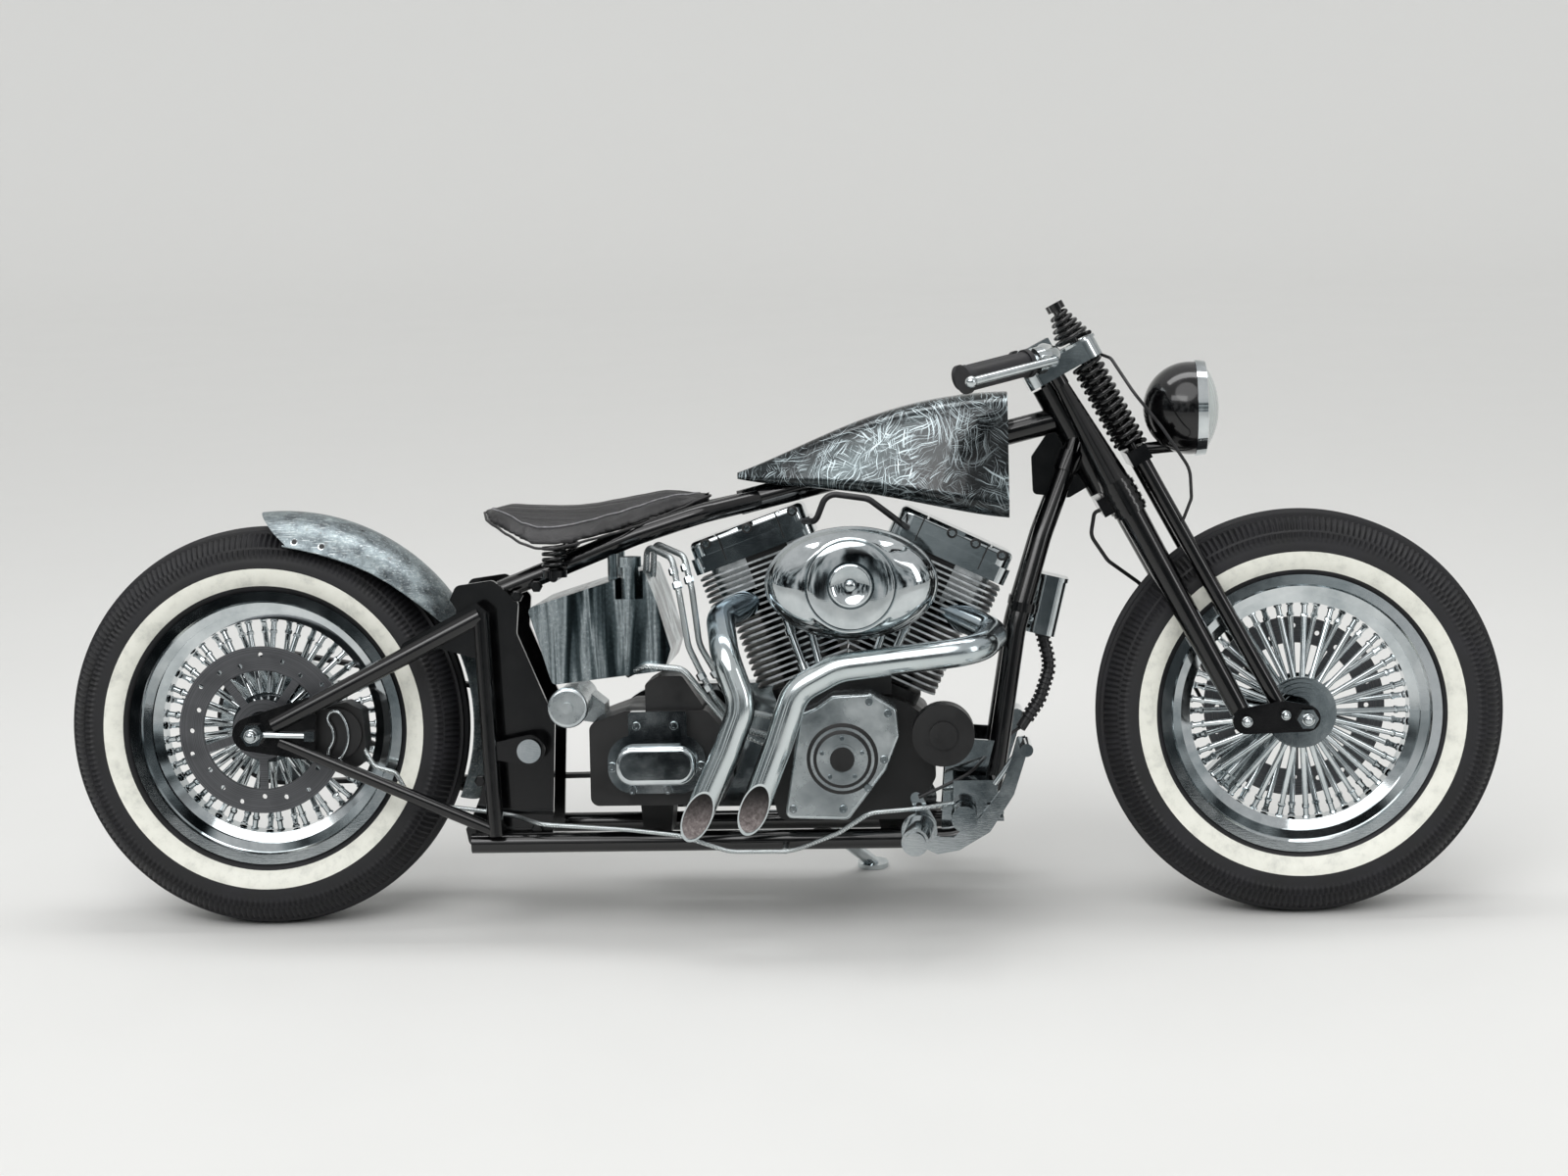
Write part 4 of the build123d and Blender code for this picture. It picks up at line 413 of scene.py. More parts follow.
def lamp_glass():
    # Pressed lamp glass with upright flutes: half clear, its pale colour painted light that stands for the light its
    # reflector throws back
    material, tree, place = new_finish("fluted_lamp_glass_painted_light")
    flutes = add(tree, "ShaderNodeTexWave", {
        "Vector": place, "Scale": 28.0, "Distortion": 0.0,
    }, bands_direction="Y").outputs["Fac"]
    # Pale base colour painted in for the reflector's light seen through the glass
    surface(tree, linear("#dfe8e6"), (flutes, 0.04, 0.12, 0.0, 1.0), (flutes, 0.3, 0.002), {
        "Transmission Weight": 0.35, "IOR": 1.5,
    })
    return material


def braided_steel():
    # Stainless braid over a hose, drawn at 2 mm a strand so that it shows: bright crossing strands
    material, tree, place = new_finish("braided_stainless_steel")
    flipped = add(tree, "ShaderNodeMapping", {"Vector": place, "Scale": (-1.0, 1.0, 1.0)})
    one, two = (
        add(tree, "ShaderNodeTexWave", {
            "Vector": way, "Scale": 140.0, "Distortion": 0.0,
        }, bands_direction="DIAGONAL").outputs["Fac"] for way in (place, flipped)
    )
    cross = add(tree, "ShaderNodeMath", {0: one, 1: two}, operation="MULTIPLY")
    colour = add(tree, "ShaderNodeValToRGB", {"Fac": cross}, ((0.0, "#7d8486"), (0.4, "#dde2e2")))
    surface(tree, colour, (cross, 0.4, 0.16, 0.0, 0.6), (cross, 0.3, 0.0008), {"Metallic": 1.0})
    return material


FINISH_MAKERS = {
    "chrome": show_chrome,
    "satin_chrome": lambda: show_chrome("satin_chrome", "#b9c0c2", (0.16, 0.34)),
    "heat_chrome": heat_chrome,
    "frame_black": frame_enamel,
    "engine_black": engine_enamel,
    "rear_fins": lambda: finned_enamel("rear_finned_cylinder", math.radians(VEE_TILT - VEE_ANGLE)),
    "front_fins": lambda: finned_enamel("front_finned_cylinder", math.radians(VEE_TILT + VEE_ANGLE)),
    "raw_steel": mottled_steel,
    "streaked_steel": streaked_steel,
    "tank_metal": swirled_steel,
    "alloy": cast_alloy,
    "soot_and_shade": pipe_soot_and_shade,
    "tyre_rubber": tyre_rubber,
    "whitewall": whitewall_rubber,
    "belt_rubber": lambda: black_rubber("moulded_belt_rubber"),
    "grip_rubber": lambda: black_rubber("moulded_grip_rubber", 500.0),
    "front_disc_iron": lambda: disc_iron("front_disc_iron", "front"),
    "rear_disc_iron": lambda: disc_iron("rear_disc_iron", "rear"),
    "saddle_leather": saddle_leather,
    "piping": piping_painted_highlight,
    "lamp_glass": lamp_glass,
    "hose_black": hose_skin,
    "braided_steel": braided_steel,
}
finishes = {}

# Finish of each node whose finish isn't its record slot's
NODE_FINISH = {
    "oil_tank": "streaked_steel",
    "front_exhaust": "heat_chrome",
    "rear_exhaust": "heat_chrome",
    "cam_cover": "satin_chrome",
    "starter": "satin_chrome",
    "front_disc": "front_disc_iron",
    "rear_disc": "rear_disc_iron",
    "rear_cylinder": "rear_fins",
    "front_cylinder": "front_fins",
}


def finish(name):
    """The scene's material of that name, made once."""
    if name not in finishes:
        finishes[name] = FINISH_MAKERS[name]()
    return finishes[name]


def seated(mesh, name, body, finish_name, slot=None, smooth=35.0):
    """Object of a mesh drawn in the bike's axes: leaned, shaded, finished, riding on its body."""
    mesh.transform(bike)
    mesh.name = name
    piece = bpy.data.objects.new(name, mesh)
    bpy.context.scene.collection.objects.link(piece)
    mesh.materials.clear()
    mesh.materials.append(finish(finish_name))
    mesh.shade_smooth()
    mesh.set_sharp_from_angle(angle=math.radians(smooth))
    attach(piece, body)
    slot = slot or finish_name
    return piece


def lofted(name, rings, caps=True, loop=False, shift=0):
    """Mesh skinned over closed rings of points, its faces outward.

    caps closes both ends; loop joins the last ring to the first, turned by shift points.
    """
    made = bmesh.new()
    rows = [[made.verts.new(point) for point in ring] for ring in rings]
    count = len(rows[0])
    pairs = list(zip(rows, rows[1:]))
    if loop:
        pairs.append((rows[-1], rows[0][shift:] + rows[0][:shift]))
    for here, there in pairs:
        for i in range(count):
            j = (i + 1) % count
            made.faces.new((here[i], here[j], there[j], there[i]))
    if caps:
        made.faces.new(list(reversed(rows[0])))
        made.faces.new(rows[-1])
    bmesh.ops.recalc_face_normals(made, faces=made.faces)
    mesh = bpy.data.meshes.new(name)
    made.to_mesh(mesh)
    made.free()
    return mesh


def joined(meshes):
    """One mesh of several."""
    made = bmesh.new()
    for one in meshes:
        made.from_mesh(one)
    mesh = bpy.data.meshes.new("joined")
    made.to_mesh(mesh)
    made.free()
    return mesh


def turns(count):
    """Angles of equal steps round a circle."""
    return [2 * math.pi * i / count for i in range(count)]


def tube(line, radius, closed=False, sides=8):
    """Round tube along a line of points, its ends closed or joined."""
    count = len(line)
    rings = []
    side = None
    for i, point in enumerate(line):
        if closed:
            along = (line[(i + 1) % count] - line[i - 1]).normalized()
        else:
            along = (line[min(i + 1, count - 1)] - line[max(i - 1, 0)]).normalized()
        if side is None:
            side = along.orthogonal().normalized()
        side = (side - along * side.dot(along)).normalized()
        other = along.cross(side)
        rings.append([point + (side * math.cos(a) + other * math.sin(a)) * radius for a in turns(sides)])
    shift = 0
    if closed:
        shift = min(range(sides), key=lambda s: (rings[-1][0] - rings[0][s]).length)
    return lofted("tube", rings, not closed, closed, shift)


def arc_points(start, middle, end, count):
    """Points along the circle through three (radius, y) points."""
    ax, ay = start
    bx, by = middle
    cx, cy = end
    d = 2 * (ax * (by - cy) + bx * (cy - ay) + cx * (ay - by))
    ux = ((ax**2 + ay**2) * (by - cy) + (bx**2 + by**2) * (cy - ay) + (cx**2 + cy**2) * (ay - by)) / d
    uy = ((ax**2 + ay**2) * (cx - bx) + (bx**2 + by**2) * (ax - cx) + (cx**2 + cy**2) * (bx - ax)) / d
    r = math.hypot(ax - ux, ay - uy)
    a0 = math.atan2(ay - uy, ax - ux)
    a1 = math.atan2(cy - uy, cx - ux)
    angles = [a0 + (a1 - a0) * i / count for i in range(count + 1)]
    return [(ux + r * math.cos(a), uy + r * math.sin(a)) for a in angles]


def length(name, description, default):
    """Property that holds a length in metres."""
    return bpy.props.FloatProperty(
        name=name, description=description, default=default, unit="LENGTH", subtype="DISTANCE", precision=4,
    )


class BikeTyreSizes(bpy.types.PropertyGroup):
    blocks: bpy.props.IntProperty(
        name="Shoulder blocks", description="Blocks in one row round the tyre", default=206, min=40, max=400,
    )
    groove: length("Groove depth", "Depth of the tread's grooves", 0.0034)
    whitewall_inner: length("Whitewall inner radius", "Where the white band starts", 0.229)
    whitewall_outer: length("Whitewall outer radius", "Where the white band ends", 0.2605)


class BikeSaddleShape(bpy.types.PropertyGroup):
    voxel: length("Remesh size", "Size of the cushion's faces before it swells", 0.005)
    pressure: bpy.props.FloatProperty(
        name="Padding pressure", description="Pressure that swells the padding", default=4.0,
    )
    swell: length("Most swell", "How far the padding may move", 0.005)
    rib_pitch: length("Rib pitch", "Distance between the sewn ribs", 0.021)
    rib_depth: length("Rib depth", "Depth of the sewn channels", 0.0022)


class BikeFastenerSizes(bpy.types.PropertyGroup):
    nipple: length("Nipple radius", "Radius of a spoke's flared nipple", 0.0062)
    cover_screw: length("Cover screw radius", "Head radius of the covers' screws", 0.0065)


class BikeStageSettings(bpy.types.PropertyGroup):
    floor: bpy.props.FloatVectorProperty(
        name="Floor colour", description="Colour of the floor", size=4, subtype="COLOR",
        default=linear("#dcdcda"), min=0.0, max=1.0,
    )
    sun: bpy.props.FloatProperty(name="Sun strength", description="Strength of the wide soft light", default=1.1)


# Width of each tyre, and what both share: bead, rim's edge, crown's curve and wall
TYRE_WIDTH = {"front": 0.130, "rear": 0.140}
BEAD_RADIUS = 0.210
BEAD_Y = 0.048
RIM_RADIUS = 0.222
CROWN_RADIUS = 0.088
TYRE_WALL = 0.010
# Tread, by radius: lower row of shoulder blocks, groove between the rows; by y: start of the upper row,
# middles of the crown's grooves and half their width
LOWER_BLOCKS = (0.279, 0.291)
ROW_GROOVE = (0.2905, 0.2925)
UPPER_BLOCKS_Y = 0.036
CROWN_GROOVES = (0.012, 0.031)
CROWN_GROOVE_HALF = 0.0017
# Whitewall band over the tyre's side, and its foot under the side
WHITEWALL_RISE, WHITEWALL_FOOT = 0.0009, 0.0012


def tyre_outside(width):
    """Outside of one half of the tyre: fine points from the rim to the crown's middle."""
    half = width / 2
    shoulder_y = 0.78 * half
    shoulder = AXLE_Z - CROWN_RADIUS + math.sqrt(CROWN_RADIUS**2 - shoulder_y**2)
    side = arc_points((RIM_RADIUS, BEAD_Y), ((BEAD_RADIUS + shoulder) / 2, half), (shoulder, shoulder_y), 26)
    crown_middle = AXLE_Z - CROWN_RADIUS + math.sqrt(CROWN_RADIUS**2 - (shoulder_y / 2) ** 2)
    crown = arc_points((shoulder, shoulder_y), (crown_middle, shoulder_y / 2), (AXLE_Z, 0), 22)
    return side + crown[1:]


def sunk_share(column, r, y):
    """How deep in the tread's grooves a point of the outside lies, by its column in the pitch."""
    if r > 0.29 and any(abs(y - middle) < CROWN_GROOVE_HALF for middle in CROWN_GROOVES):
        return 1.5
    if ROW_GROOVE[0] <= r <= ROW_GROOVE[1]:
        return 1.0
    if r > ROW_GROOVE[1] and y > UPPER_BLOCKS_Y:
        return 1.0 if column in (0, 1, 4) else 0.0
    if LOWER_BLOCKS[0] < r < LOWER_BLOCKS[1]:
        return 1.0 if column in (2, 3) else 0.0
    return 0.0


def tread_wedge(width, sizes):
    """One pitch of the tyre: two rows of shoulder blocks set against each other, and ribbed crown."""
    outside = tyre_outside(width)
    outward = []
    for i in range(len(outside)):
        before, after = outside[max(i - 1, 0)], outside[min(i + 1, len(outside) - 1)]
        outward.append(Vector((after[1] - before[1], before[0] - after[0])).normalized())
    inner_y = width / 2 - TYRE_WALL - 0.004
    inside = [(0.236, -inner_y), (0.292, -0.036), (0.306, 0.0), (0.292, 0.036), (0.236, inner_y)]
    rows = []
    for column, share in enumerate((0.0, 0.06, 0.5, 0.56, 1.0)):
        half_loop = [(BEAD_RADIUS, BEAD_Y)]
        for (r, y), out in zip(outside, outward):
            sunk = out * (-sizes.groove * sunk_share(column, r, y))
            half_loop.append((r + sunk.x, y + sunk.y))
        mirrored = [(r, -y) for r, y in reversed(half_loop[:-1])]
        lining = [(BEAD_RADIUS, TYRE_WALL - BEAD_Y)] + inside + [(BEAD_RADIUS, BEAD_Y - TYRE_WALL)]
        angle = 2 * math.pi / sizes.blocks * share
        rows.append([
            (r * math.sin(angle), y, r * math.cos(angle)) for r, y in half_loop + mirrored + lining
        ])
    return lofted("tread_wedge", rows, caps=False)


def ring_tree():
    """Geometry nodes that repeat a wedge about the y axis and join it into one ring."""
    tree = bpy.data.node_groups.new("turned_ring", "GeometryNodeTree")
    for name, kind in (
        ("Wedge", "Geometry"), ("Count", "Int"), ("Centre", "Vector"), ("Join distance", "Float"),
        ("Finish", "Material"),
    ):
        tree.interface.new_socket(name, in_out="INPUT", socket_type=f"NodeSocket{kind}")
    tree.interface.new_socket("Ring", in_out="OUTPUT", socket_type="NodeSocketGeometry")
    given = add(tree, "NodeGroupInput").outputs
    line = add(tree, "GeometryNodeMeshLine", {"Count": given["Count"], "Offset": (0.0, 0.0, 0.0)})
    index = add(tree, "GeometryNodeInputIndex")
    step = add(tree, "ShaderNodeMath", {0: 2 * math.pi, 1: given["Count"]}, operation="DIVIDE")
    angle = add(tree, "ShaderNodeMath", {0: index, 1: step}, operation="MULTIPLY")
    turn = add(tree, "ShaderNodeCombineXYZ", {"Y": angle})
    copies = add(tree, "GeometryNodeInstanceOnPoints", {"Points": line, "Instance": given["Wedge"], "Rotation": turn})
    real = add(tree, "GeometryNodeRealizeInstances", {"Geometry": copies})
    whole = add(tree, "GeometryNodeMergeByDistance", {"Geometry": real, "Distance": given["Join distance"]})
    moved = add(tree, "GeometryNodeSetPosition", {"Geometry": whole, "Offset": given["Centre"]})
    dressed = add(tree, "GeometryNodeSetMaterial", {"Geometry": moved, "Material": given["Finish"]})
    add(tree, "NodeGroupOutput", {"Ring": dressed})
    return tree


def scatter_tree():
    """Geometry nodes that set a head on each point, along its axis and at its size."""
    tree = bpy.data.node_groups.new("set_heads", "GeometryNodeTree")
    for name, kind in (("Places", "Geometry"), ("Head", "Object"), ("Finish", "Material")):
        tree.interface.new_socket(name, in_out="INPUT", socket_type=f"NodeSocket{kind}")
    tree.interface.new_socket("Heads", in_out="OUTPUT", socket_type="NodeSocketGeometry")
    given = add(tree, "NodeGroupInput").outputs
    head = add(tree, "GeometryNodeObjectInfo", {"Object": given["Head"]})
    axis = add(tree, "GeometryNodeInputNamedAttribute", {"Name": "axis"}, data_type="FLOAT_VECTOR")
    size = add(tree, "GeometryNodeInputNamedAttribute", {"Name": "size"}, data_type="FLOAT_VECTOR")
    turn = add(tree, "FunctionNodeAlignRotationToVector", {"Vector": axis.outputs["Attribute"]}, axis="Z")
    copies = add(tree, "GeometryNodeInstanceOnPoints", {
        "Points": given["Places"], "Instance": head.outputs["Geometry"],
        "Rotation": turn, "Scale": size.outputs["Attribute"],
    })
    real = add(tree, "GeometryNodeRealizeInstances", {"Geometry": copies})
    dressed = add(tree, "GeometryNodeSetMaterial", {"Geometry": real, "Material": given["Finish"]})
    add(tree, "NodeGroupOutput", {"Heads": dressed})
    return tree


def baked(mesh, tree, values):
    """Plain mesh that a geometry nodes tree makes of a mesh."""
    carrier = bpy.data.objects.new("carrier", mesh)
    bpy.context.scene.collection.objects.link(carrier)
    modifier = carrier.modifiers.new("nodes", "NODES")
    modifier.node_group = tree
    for item in tree.interface.items_tree:
        if item.in_out == "INPUT" and item.name in values:
            modifier[item.identifier] = values[item.name]
    seen = carrier.evaluated_get(bpy.context.evaluated_depsgraph_get())
    result = bpy.data.meshes.new_from_object(seen)
    carrier.modifiers.remove(modifier)
    bpy.data.objects.remove(carrier)
    return result


HEADS = {
    # Profile of each head as (radius, height) and its count of sides: one millimetre in radius, its foot at 0
    "socket": ([(1, -0.3), (1, 0.75), (0.9, 0.9), (0.55, 0.9), (0.5, 0.45)], 12),
    "hex": ([(1.18, -0.3), (1.18, 0.12), (1.0, 0.16), (1.0, 0.72), (0.86, 0.84)], 6),
    "acorn": ([(1.0, -0.3), (1.0, 0.5), (0.86, 0.6), (0.8, 0.95), (0.6, 1.25), (0.3, 1.42), (0.05, 1.46)], 12),
    "disc": ([(1.0, -0.05), (1.0, 0.03), (0.94, 0.05)], 16),
    "recess": ([(1.0, -0.4), (1.0, 0.5), (0.985, 0.8)], 48),
    "band": ([(0.8, -0.8), (1.0, -0.6), (1.0, 0.6), (0.8, 0.8)], 6),
    "nipple": ([(1.0, -1.6), (1.0, -0.9), (0.72, -0.5), (0.72, 1.2), (1.05, 1.6), (1.05, 2.0)], 8),
}


def set_heads(name, body, head, places, finish_name):
    """One mesh of like heads on a body, from (point, axis, size) in the bike's axes and millimetres."""
    profile, sides = HEADS[head]
    rings = [[(r * MM * math.cos(a), r * MM * math.sin(a), z * MM) for a in turns(sides)] for r, z in profile]
    prototype = bpy.data.objects.new("prototype", lofted("head", rings))
    bpy.context.scene.collection.objects.link(prototype)
    mesh = bpy.data.meshes.new("places")
    mesh.from_pydata([Vector(point) * MM for point, axis, size in places], [], [])
    axes = mesh.attributes.new("axis", "FLOAT_VECTOR", "POINT")
    sizes = mesh.attributes.new("size", "FLOAT_VECTOR", "POINT")
    for i, (point, axis, size) in enumerate(places):
        axes.data[i].vector = Vector(axis).normalized()
        sizes.data[i].vector = size if isinstance(size, tuple) else (size, size, size)
    if "set_heads" not in bpy.data.node_groups:
        scatter_tree()
    result = baked(mesh, bpy.data.node_groups["set_heads"], {"Head": prototype, "Finish": finish(finish_name)})
    bpy.data.objects.remove(prototype)
    return seated(result, name, body, finish_name)


class BIKE_OT_finishes(bpy.types.Operator):
    """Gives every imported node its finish"""
    bl_idname = "bike.finishes"
    bl_label = "Finish the packed nodes"

    def execute(self, context):
        slots = {part["node"]: part["material_slot"] for part in frame["record"]["subparts"]}
        for name, node in frame["nodes"].items():
            material = finish(NODE_FINISH.get(name, slots[name]))
            if not node.material_slots:
                raise RuntimeError(f"{name} has no material slot")
            for one in node.material_slots:
                one.link = "OBJECT"
                one.material = material
        return {"FINISHED"}


class BIKE_OT_tyres(bpy.types.Operator):
    """Makes the moulded tyres with their tread and white sidewalls"""
    bl_idname = "bike.tyres"
    bl_label = "Make the tyres"

    def execute(self, context):
        sizes = context.scene.bike_tyres
        tree = ring_tree()
        for side, width in TYRE_WIDTH.items():
            centre = Vector((WHEEL_X[side], 0.0, AXLE_Z))
            mesh = baked(tread_wedge(width, sizes), tree, {
                "Count": sizes.blocks, "Centre": tuple(centre), "Join distance": 0.00002,
                "Finish": finish("tyre_rubber"),
            })
            piece = seated(mesh, f"{side}_tyre_treaded", f"{side}_wheel", "tyre_rubber")
            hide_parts(f"{side}_tyre")
            wall = [
                (r, y) for r, y in tyre_outside(width)
                if sizes.whitewall_inner <= r <= sizes.whitewall_outer and y > 0.04
            ]
            for name, sign in (("right", -1), ("left", 1)):
                outer = [(r, sign * (y + WHITEWALL_RISE)) for r, y in wall]
                inner = [(r, sign * (y - WHITEWALL_FOOT)) for r, y in reversed(wall)]
                rings = [
                    [centre + Vector((r * math.cos(a), y, r * math.sin(a))) for r, y in outer + inner]
                    for a in turns(120)
                ]
                band = lofted("whitewall", rings, caps=False, loop=True)
                seated(band, f"{side}_whitewall_{name}", f"{side}_wheel", "whitewall", "tyre_rubber")
        return {"FINISHED"}


# Saddle along its length: x, height of the middle, height of the edge, half width, all in millimetres
SADDLE_STATIONS = (
    (-470, 674, 668, 34),
    (-462, 673, 655, 64),
    (-448, 672, 648, 84),
    (-424, 671, 634, 104),
    (-400, 669, 620, 116),
    (-376, 668, 612, 121),
    (-350, 667, 611, 120),
    (-322, 667, 616, 113),
    (-290, 670, 624, 102),
    (-255, 676, 632, 88),
    (-220, 682, 642, 73),
    (-185, 688, 655, 58),
    (-150, 692, 668, 43),
    (-125, 693, 680, 33),
    (-108, 692, 686, 18),
)
# Piping line of the saddle's top panel: share of the half width at each x in millimetres
PIPING = (
    (-462, 0.0), (-456, 0.42), (-440, 0.62), (-410, 0.74), (-376, 0.78), (-330, 0.76),
    (-280, 0.72), (-220, 0.68), (-170, 0.62), (-135, 0.5), (-124, 0.0),
)
PIPING_ENDS = (-461, -124)
EDGE_ROLL_ENDS = (-469, -108)


def station_at(x):
    """Saddle's middle height, edge height and half width at x, in millimetres."""
    for (x0, *a), (x1, *b) in zip(SADDLE_STATIONS, SADDLE_STATIONS[1:]):
        if x <= x1:
            t = min(max((x - x0) / (x1 - x0), 0.0), 1.0)
            t = t * t * (3 - 2 * t) * 0.4 + t * 0.6
            return [p + (q - p) * t for p, q in zip(a, b)]
    return list(SADDLE_STATIONS[-1][1:])


def saddle_top(x, y):
    """Height of the saddle's upper skin over a point, in millimetres."""
    middle, edge, half = station_at(x)
    share = min(abs(y) / half, 1.0)
    return middle + (edge - middle) * share ** 2.3


def piping_share(x):
    """Share of the saddle's half width at which its piping runs, none past its ends."""
    for (x0, a), (x1, b) in zip(PIPING, PIPING[1:]):
        if x0 <= x <= x1:
            return a + (b - a) * (x - x0) / (x1 - x0)
    return 0.0


def saddle_form():
    """Closed thin cushion over the pan, a little smaller than it ends up."""
    made = bmesh.new()
    columns = []
    across = 24
    first, last = SADDLE_STATIONS[0][0], SADDLE_STATIONS[-1][0]
    for i in range(49):
        x = first + (last - first) * i / 48
        half = station_at(x)[2] - 2.0
        ring = []
        for j in range(across + 1):
            y = -half + 2 * half * j / across
            ring.append((x, y, saddle_top(x, y) - 1.5))
        for j in range(across, -1, -1):
            y = -half + 2 * half * j / across
            share = abs(y) / half
            thick = 9 + 17 * (1 - share ** 2.5)
            ring.append((x, y, saddle_top(x, y) - thick))
        columns.append([made.verts.new(Vector(p) * MM) for p in ring])
    for here, there in zip(columns, columns[1:]):
        for j in range(len(here)):
            k = (j + 1) % len(here)
            made.faces.new((here[j], there[j], there[k], here[k]))
    made.faces.new(columns[0])
    made.faces.new(list(reversed(columns[-1])))
    bmesh.ops.triangulate(made, faces=[f for f in made.faces if len(f.verts) > 4])
    bmesh.ops.recalc_face_normals(made, faces=made.faces)
    mesh = bpy.data.meshes.new("saddle_form")
    made.to_mesh(mesh)
    made.free()
    return mesh


def evaluated(piece):
    """Plain mesh of a piece with its modifiers."""
    return bpy.data.meshes.new_from_object(piece.evaluated_get(bpy.context.evaluated_depsgraph_get()))


SWELL_FRAMES = 20


def swollen(mesh, shape):
    """The mesh remeshed and swollen by a short cloth simulation, its motion capped."""
    piece = bpy.data.objects.new("swelling", mesh)
    scene = bpy.context.scene
    scene.collection.objects.link(piece)
    remesh = piece.modifiers.new("even", "REMESH")
    remesh.mode = "VOXEL"
    remesh.voxel_size = shape.voxel
    even = evaluated(piece)
    piece.modifiers.remove(remesh)
    piece.data = even
    rest = [v.co.copy() for v in even.vertices]
    cloth = piece.modifiers.new("padding", "CLOTH")
    cloth.settings.use_pressure = True
    cloth.settings.uniform_pressure_force = shape.pressure
    cloth.settings.quality = 5
    cloth.settings.effector_weights.gravity = 0.0
    cloth.point_cache.frame_start = 1
    cloth.point_cache.frame_end = SWELL_FRAMES
    for step in range(1, SWELL_FRAMES + 1):
        scene.frame_set(step)
    even = evaluated(piece)
    piece.modifiers.remove(cloth)
    scene.frame_set(1)
    for vertex, before in zip(even.vertices, rest):
        moved = vertex.co - before
        if moved.length > shape.swell:
            vertex.co = before + moved.normalized() * shape.swell
    piece.data = even
    finer = piece.modifiers.new("finer", "SUBSURF")
    finer.levels = 1
    finer.render_levels = 1
    result = evaluated(piece)
    bpy.data.objects.remove(piece)
    return result


class BIKE_OT_saddle(bpy.types.Operator):
    """Makes the padded leather saddle with its sewn ribs and piping"""
    bl_idname = "bike.saddle"
    bl_label = "Make the saddle"

    def execute(self, context):
        shape = context.scene.bike_saddle
        mesh = swollen(saddle_form(), shape)
        for vertex in mesh.vertices:
            x, y, z = vertex.co / MM
            if z < saddle_top(x, y) - 9:
                continue
            inside = piping_share(x) - abs(y) / station_at(x)[2]
            if inside > 0.03:
                rib = abs(math.sin(math.pi * (y * MM / shape.rib_pitch + 0.5)))
                fade = min(inside / 0.12, 1.0)
                vertex.co.z -= shape.rib_depth * (1 - rib ** 0.6) * fade
            elif inside > -0.03:
                vertex.co.z -= 0.0008
        skin = BVHTree.FromPolygons([v.co.copy() for v in mesh.vertices], [list(p.vertices) for p in mesh.polygons])
        piece = seated(mesh, "saddle_cushion", "chassis", "saddle_leather", smooth=60)
        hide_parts("saddle")
        start, end = PIPING_ENDS
        lengthwise = [start + i * ((end - start) / 40) for i in range(41)]
        half_route = [(x, piping_share(x) * station_at(x)[2]) for x in lengthwise]
        line = []
        for x, y in [(x, -y) for x, y in half_route] + list(reversed(half_route)):
            hit = skin.ray_cast(Vector((x * MM, y * MM, 0.75)), Vector((0, 0, -1)))
            if hit[0] is not None:
                line.append(hit[0] + Vector((0, 0, 0.0004)))
        # Piping finished pale grey all over as a painted highlight along the saddle's top
        seated(tube(line, 0.0016, closed=True), "saddle_piping", "chassis", "piping", "saddle_leather", 60)
        start, end = EDGE_ROLL_ENDS
        rim = []
        for i in range(61):
            x = start + (end - start) * i / 60
            rim.append((x, -station_at(x)[2] + 1.5))
        rim += [(x, -y) for x, y in reversed(rim)]
        edge = [Vector((x, y, saddle_top(x, y) - 6.0)) * MM for x, y in rim]
        seated(tube(edge, 0.0022, closed=True), "saddle_edge_roll", "chassis", "saddle_leather", smooth=60)
        return {"FINISHED"}


# Spokes of each wheel: count, then radius and y of their ends at the rim and at the hub, and how deep
# under the rim's end the nipple sits, in millimetres
SPOKES = 50
SPOKE_TIP = (170.0, 9.0)
SPOKE_ROOT = (45.0, 34.0)
NIPPLE_DEPTH = 9


class BIKE_OT_nipples(bpy.types.Operator):
    """Sets the flared nipples on the spokes' outer ends"""
    bl_idname = "bike.nipples"
    bl_label = "Set the spoke nipples"

    def execute(self, context):
        size = context.scene.bike_fasteners.nipple / MM
        for side in ("front", "rear"):
            centre = Vector((WHEEL_X[side], 0, AXLE_Z)) / MM
            places = []
            for i, angle in enumerate(turns(SPOKES)):
                left = 1 if i % 2 else -1
                out = Vector((math.cos(angle), 0, math.sin(angle)))
                tip = out * SPOKE_TIP[0] + Vector((0, left * SPOKE_TIP[1], 0))
                root = out * SPOKE_ROOT[0] + Vector((0, left * SPOKE_ROOT[1], 0))
                axis = (tip - root).normalized()
                places.append((centre + tip - axis * NIPPLE_DEPTH, axis, size))
            set_heads(f"{side}_spoke_nipples", f"{side}_wheel", "nipple", places, "chrome")
        return {"FINISHED"}


# Right faces of the covers, as y in millimetres, and the (x, z) of the bolts on them
CAM_COVER_Y, CAM_COVER_BOLTS = -190, ((147, 364), (176, 345), (169, 273), (143, 229), (104, 196), (26, 197))
GEARBOX_COVER_Y, GEARBOX_COVER_BOLTS = -166, ((-259, 264), (-228, 227), (-172, 227), (-119, 264))
GEARBOX_BLOCK_Y, GEARBOX_BLOCK_BOLTS = -172, ((-219, 329), (-160, 329))
PLATE_Y, PLATE_BOLTS = -86, ((-414, 530), (-382, 545), (-473, 501), (-447, 157), (-390, 156), (-465, 324), (-480, 234))
# Points cover: its middle, its three steps as (face y, radius of the black disc of painted shade in the recess round
# it), and its screws
POINTS = (104, 275)
POINTS_STEPS = ((-190, 56), (-195, 45.5), (-203, 19))
POINTS_SCREWS_Y, POINTS_SCREWS_RADIUS = -201, 33
# Rocker covers, as cylinder (-1 rear, 1 front), places of the screws and of the seams along the cover
ROCKER_COVER_Y = -66
ROCKER_COVERS = ((-1, (-86, -15, 62), (-64, 35)), (1, (9, 50, 96), (-40, 70)))
ROCKER_SCREW_HEIGHT = 398
ROCKER_SEAM_HEIGHTS = (362, 383, 405)


